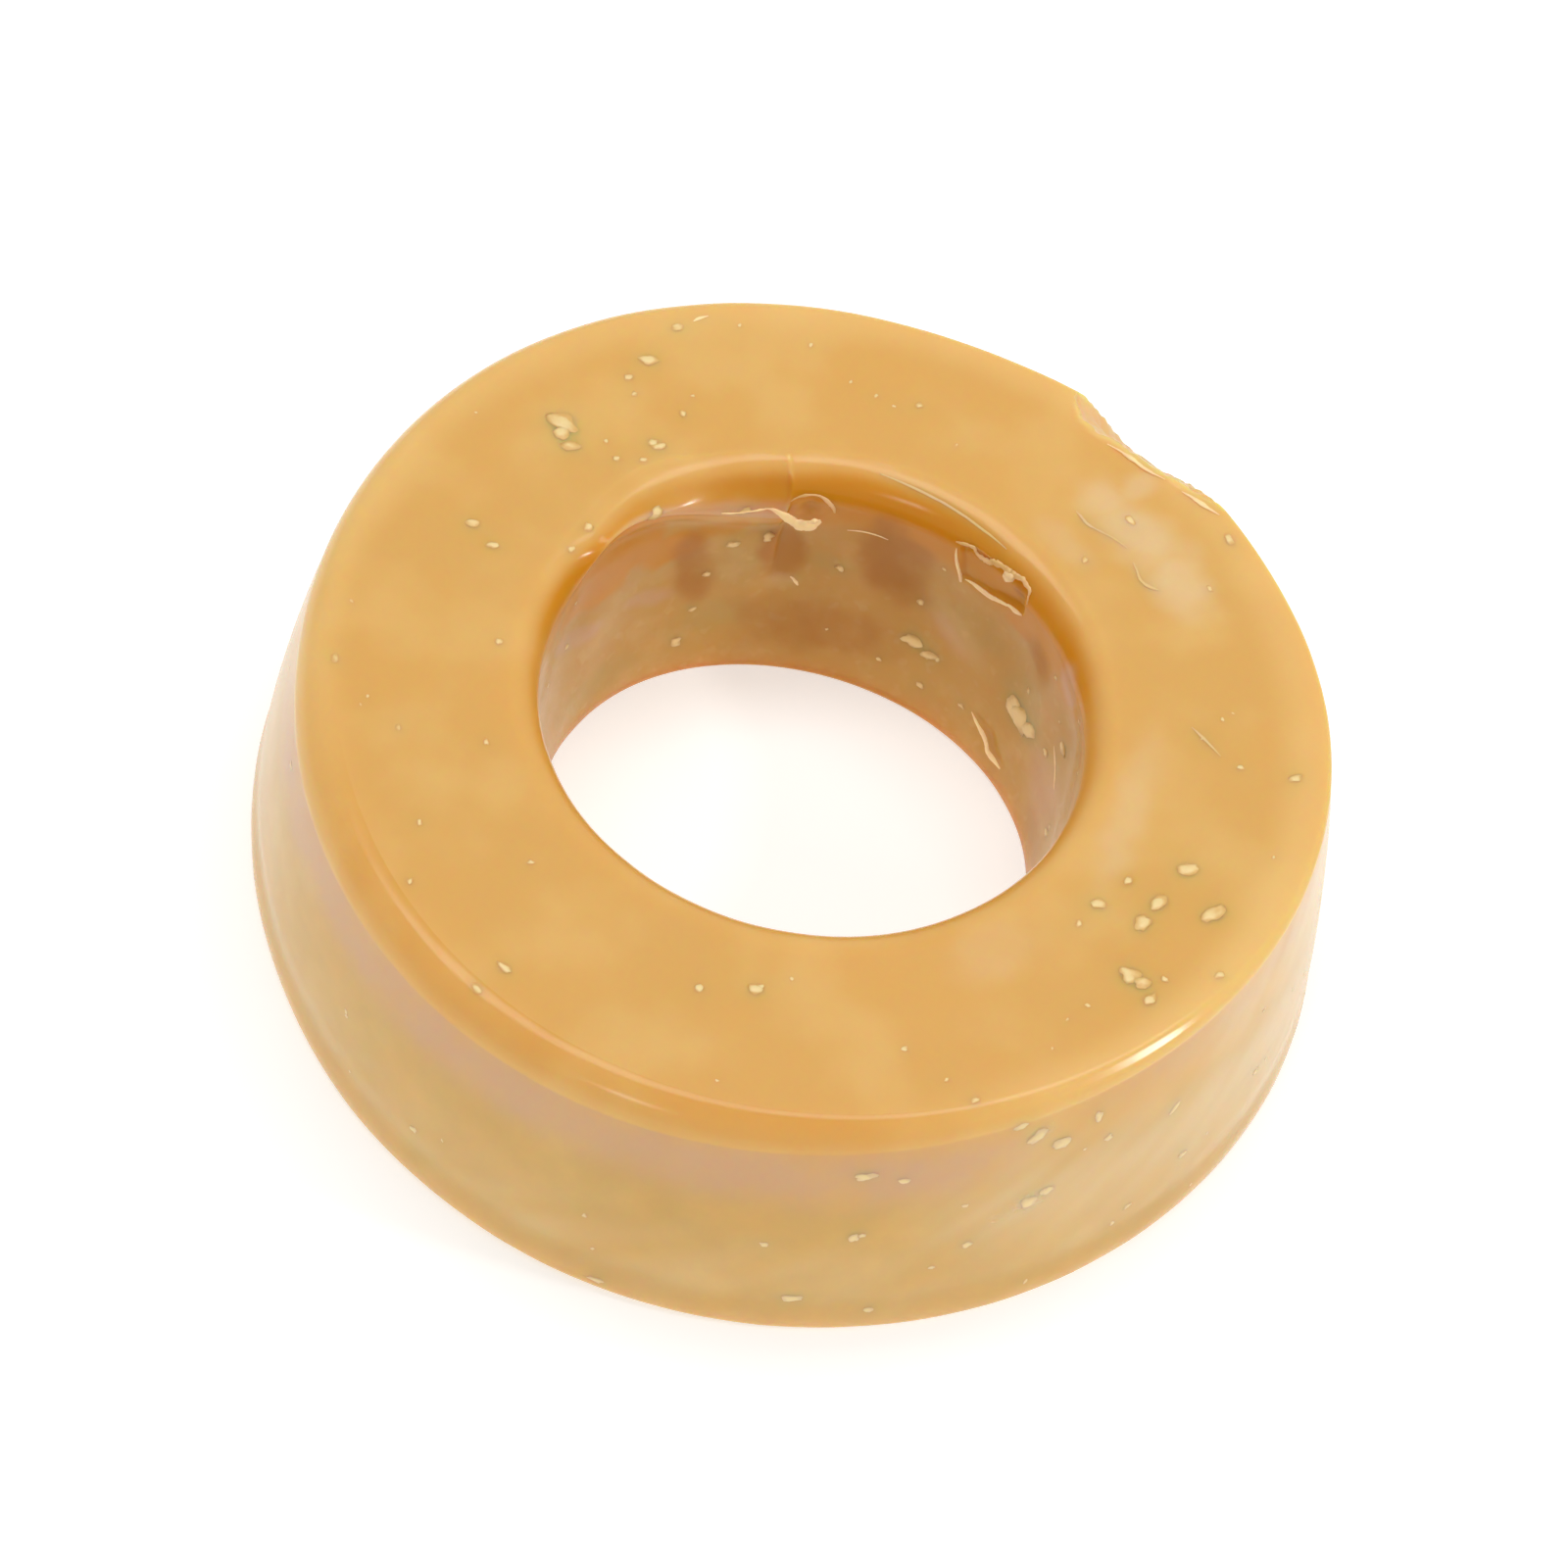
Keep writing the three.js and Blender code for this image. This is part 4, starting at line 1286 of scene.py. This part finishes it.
# The floor: half its width, its level just under the ring, its mottling and its glow
FLOOR_REACH = 1.5
FLOOR_LEVEL = -0.02 * MM
FLOOR_MOTTLE = 40 * MM
FLOOR_BUMP = 0.01 * MM
FLOOR_GLOW = {"Emission Color": (1, 1, 1, 1), "Emission Strength": 0.5}

# The camera's sensor in millimetres, and the nearest distance that it sees
SENSOR_WIDTH = 36
CLIP_START = 0.01


def add_softbox(name, place, width, depth, radiance, towards):
    """A soft oblong light that faces a point"""
    light = bpy.data.lights.new(name, "AREA")
    light.shape = "RECTANGLE"
    light.size = width
    light.size_y = depth
    light.energy = radiance * math.pi * width * depth
    lamp = bpy.data.objects.new(name, light)
    lamp.location = place
    lamp.rotation_mode = "QUATERNION"
    lamp.rotation_quaternion = (Vector(towards) - Vector(place)).to_track_quat("-Z", "Y")
    bpy.context.collection.objects.link(lamp)


def add_surroundings(scene, strength):
    """Pale light from all round"""
    world = bpy.data.worlds.new("pale_surroundings")
    world.use_nodes = True
    background = world.node_tree.nodes["Background"]
    background.inputs["Color"].default_value = (1, 1, 1, 1)
    background.inputs["Strength"].default_value = strength
    scene.world = world


def add_floor(colour):
    """A pale floor under the ring"""
    mesh = bpy.data.meshes.new("floor")
    corners = ((-1, -1), (1, -1), (1, 1), (-1, 1))
    mesh.from_pydata(
        [(x * FLOOR_REACH, y * FLOOR_REACH, FLOOR_LEVEL) for x, y in corners], [], [(0, 1, 2, 3)])
    shader = Shader("pale_floor")
    cloud = shader.mottle(FLOOR_MOTTLE, 2)
    colour = shader.blend(cloud * 0.1, colour, (1.0, 1.0, 1.0))
    mesh.materials.append(shader.finish(colour, 0.9, cloud, FLOOR_BUMP, FLOOR_GLOW))
    floor = bpy.data.objects.new("floor", mesh)
    bpy.context.collection.objects.link(floor)


def add_camera(scene, stage):
    """The camera, where the photograph was taken from"""
    lens = bpy.data.cameras.new("photo_camera")
    lens.lens = stage.lens
    lens.sensor_width = SENSOR_WIDTH
    lens.clip_start = CLIP_START
    camera = bpy.data.objects.new("photo_camera", lens)
    back = Vector((0, -math.cos(stage.elevation), math.sin(stage.elevation)))
    upright = back.to_track_quat("Z", "Y").to_matrix().to_4x4()
    spin = Matrix.Rotation(stage.roll, 4, back)
    camera.matrix_world = Matrix.Translation(Vector(stage.aim) + back * stage.distance) @ spin @ upright
    bpy.context.collection.objects.link(camera)
    scene.camera = camera


class WAXRING_OT_stage(bpy.types.Operator):
    """Make the floor, the soft light and the camera"""

    bl_idname = "wax_ring.stage"
    bl_label = "Stage"

    def execute(self, context):
        scene, stage = context.scene, context.scene.wax_ring_stage
        scene.view_settings.view_transform = "Standard"
        add_surroundings(scene, stage.sky_strength)
        add_floor(stage.floor_colour)
        for name, (place, width, depth, radiance) in SOFTBOXES.items():
            add_softbox(name, place, width, depth, radiance, LIT_POINT)
        add_camera(scene, stage)
        return {"FINISHED"}


class WAXRING_PT_panel(bpy.types.Panel):
    """Lists the pieces and their sizes"""

    bl_idname = "WAXRING_PT_panel"
    bl_label = "Wax ring"
    bl_space_type = "VIEW_3D"
    bl_region_type = "UI"
    bl_category = "Wax ring"

    def draw(self, context):
        for operator in OPERATORS:
            self.layout.operator(operator.bl_idname)
        for name in SETTINGS:
            group = getattr(context.scene, name)
            box = self.layout.box()
            for key in group.bl_rna.properties.keys():
                if key not in ("rna_type", "name"):
                    box.prop(group, key)


SETTINGS = {
    "wax_ring_sizes": RingSizes,
    "wax_ring_damage": RingDamage,
    "wax_ring_look": WaxLook,
    "wax_ring_stage": StageLook,
}
OPERATORS = (WAXRING_OT_stage, WAXRING_OT_ring, WAXRING_OT_creases, WAXRING_OT_burrs, WAXRING_OT_crumbs)
CLASSES = (*SETTINGS.values(), *OPERATORS, WAXRING_PT_panel)


def register():
    for kind in CLASSES:
        bpy.utils.register_class(kind)
    for name, group in SETTINGS.items():
        setattr(bpy.types.Scene, name, bpy.props.PointerProperty(type=group))


def unregister():
    for name in SETTINGS:
        delattr(bpy.types.Scene, name)
    for kind in reversed(CLASSES):
        bpy.utils.unregister_class(kind)


def main():
    register()
    bpy.ops.wax_ring.stage()
    bpy.ops.wax_ring.ring()
    bpy.ops.wax_ring.creases()
    bpy.ops.wax_ring.burrs()
    bpy.ops.wax_ring.crumbs()


if __name__ == "__main__":
    main()
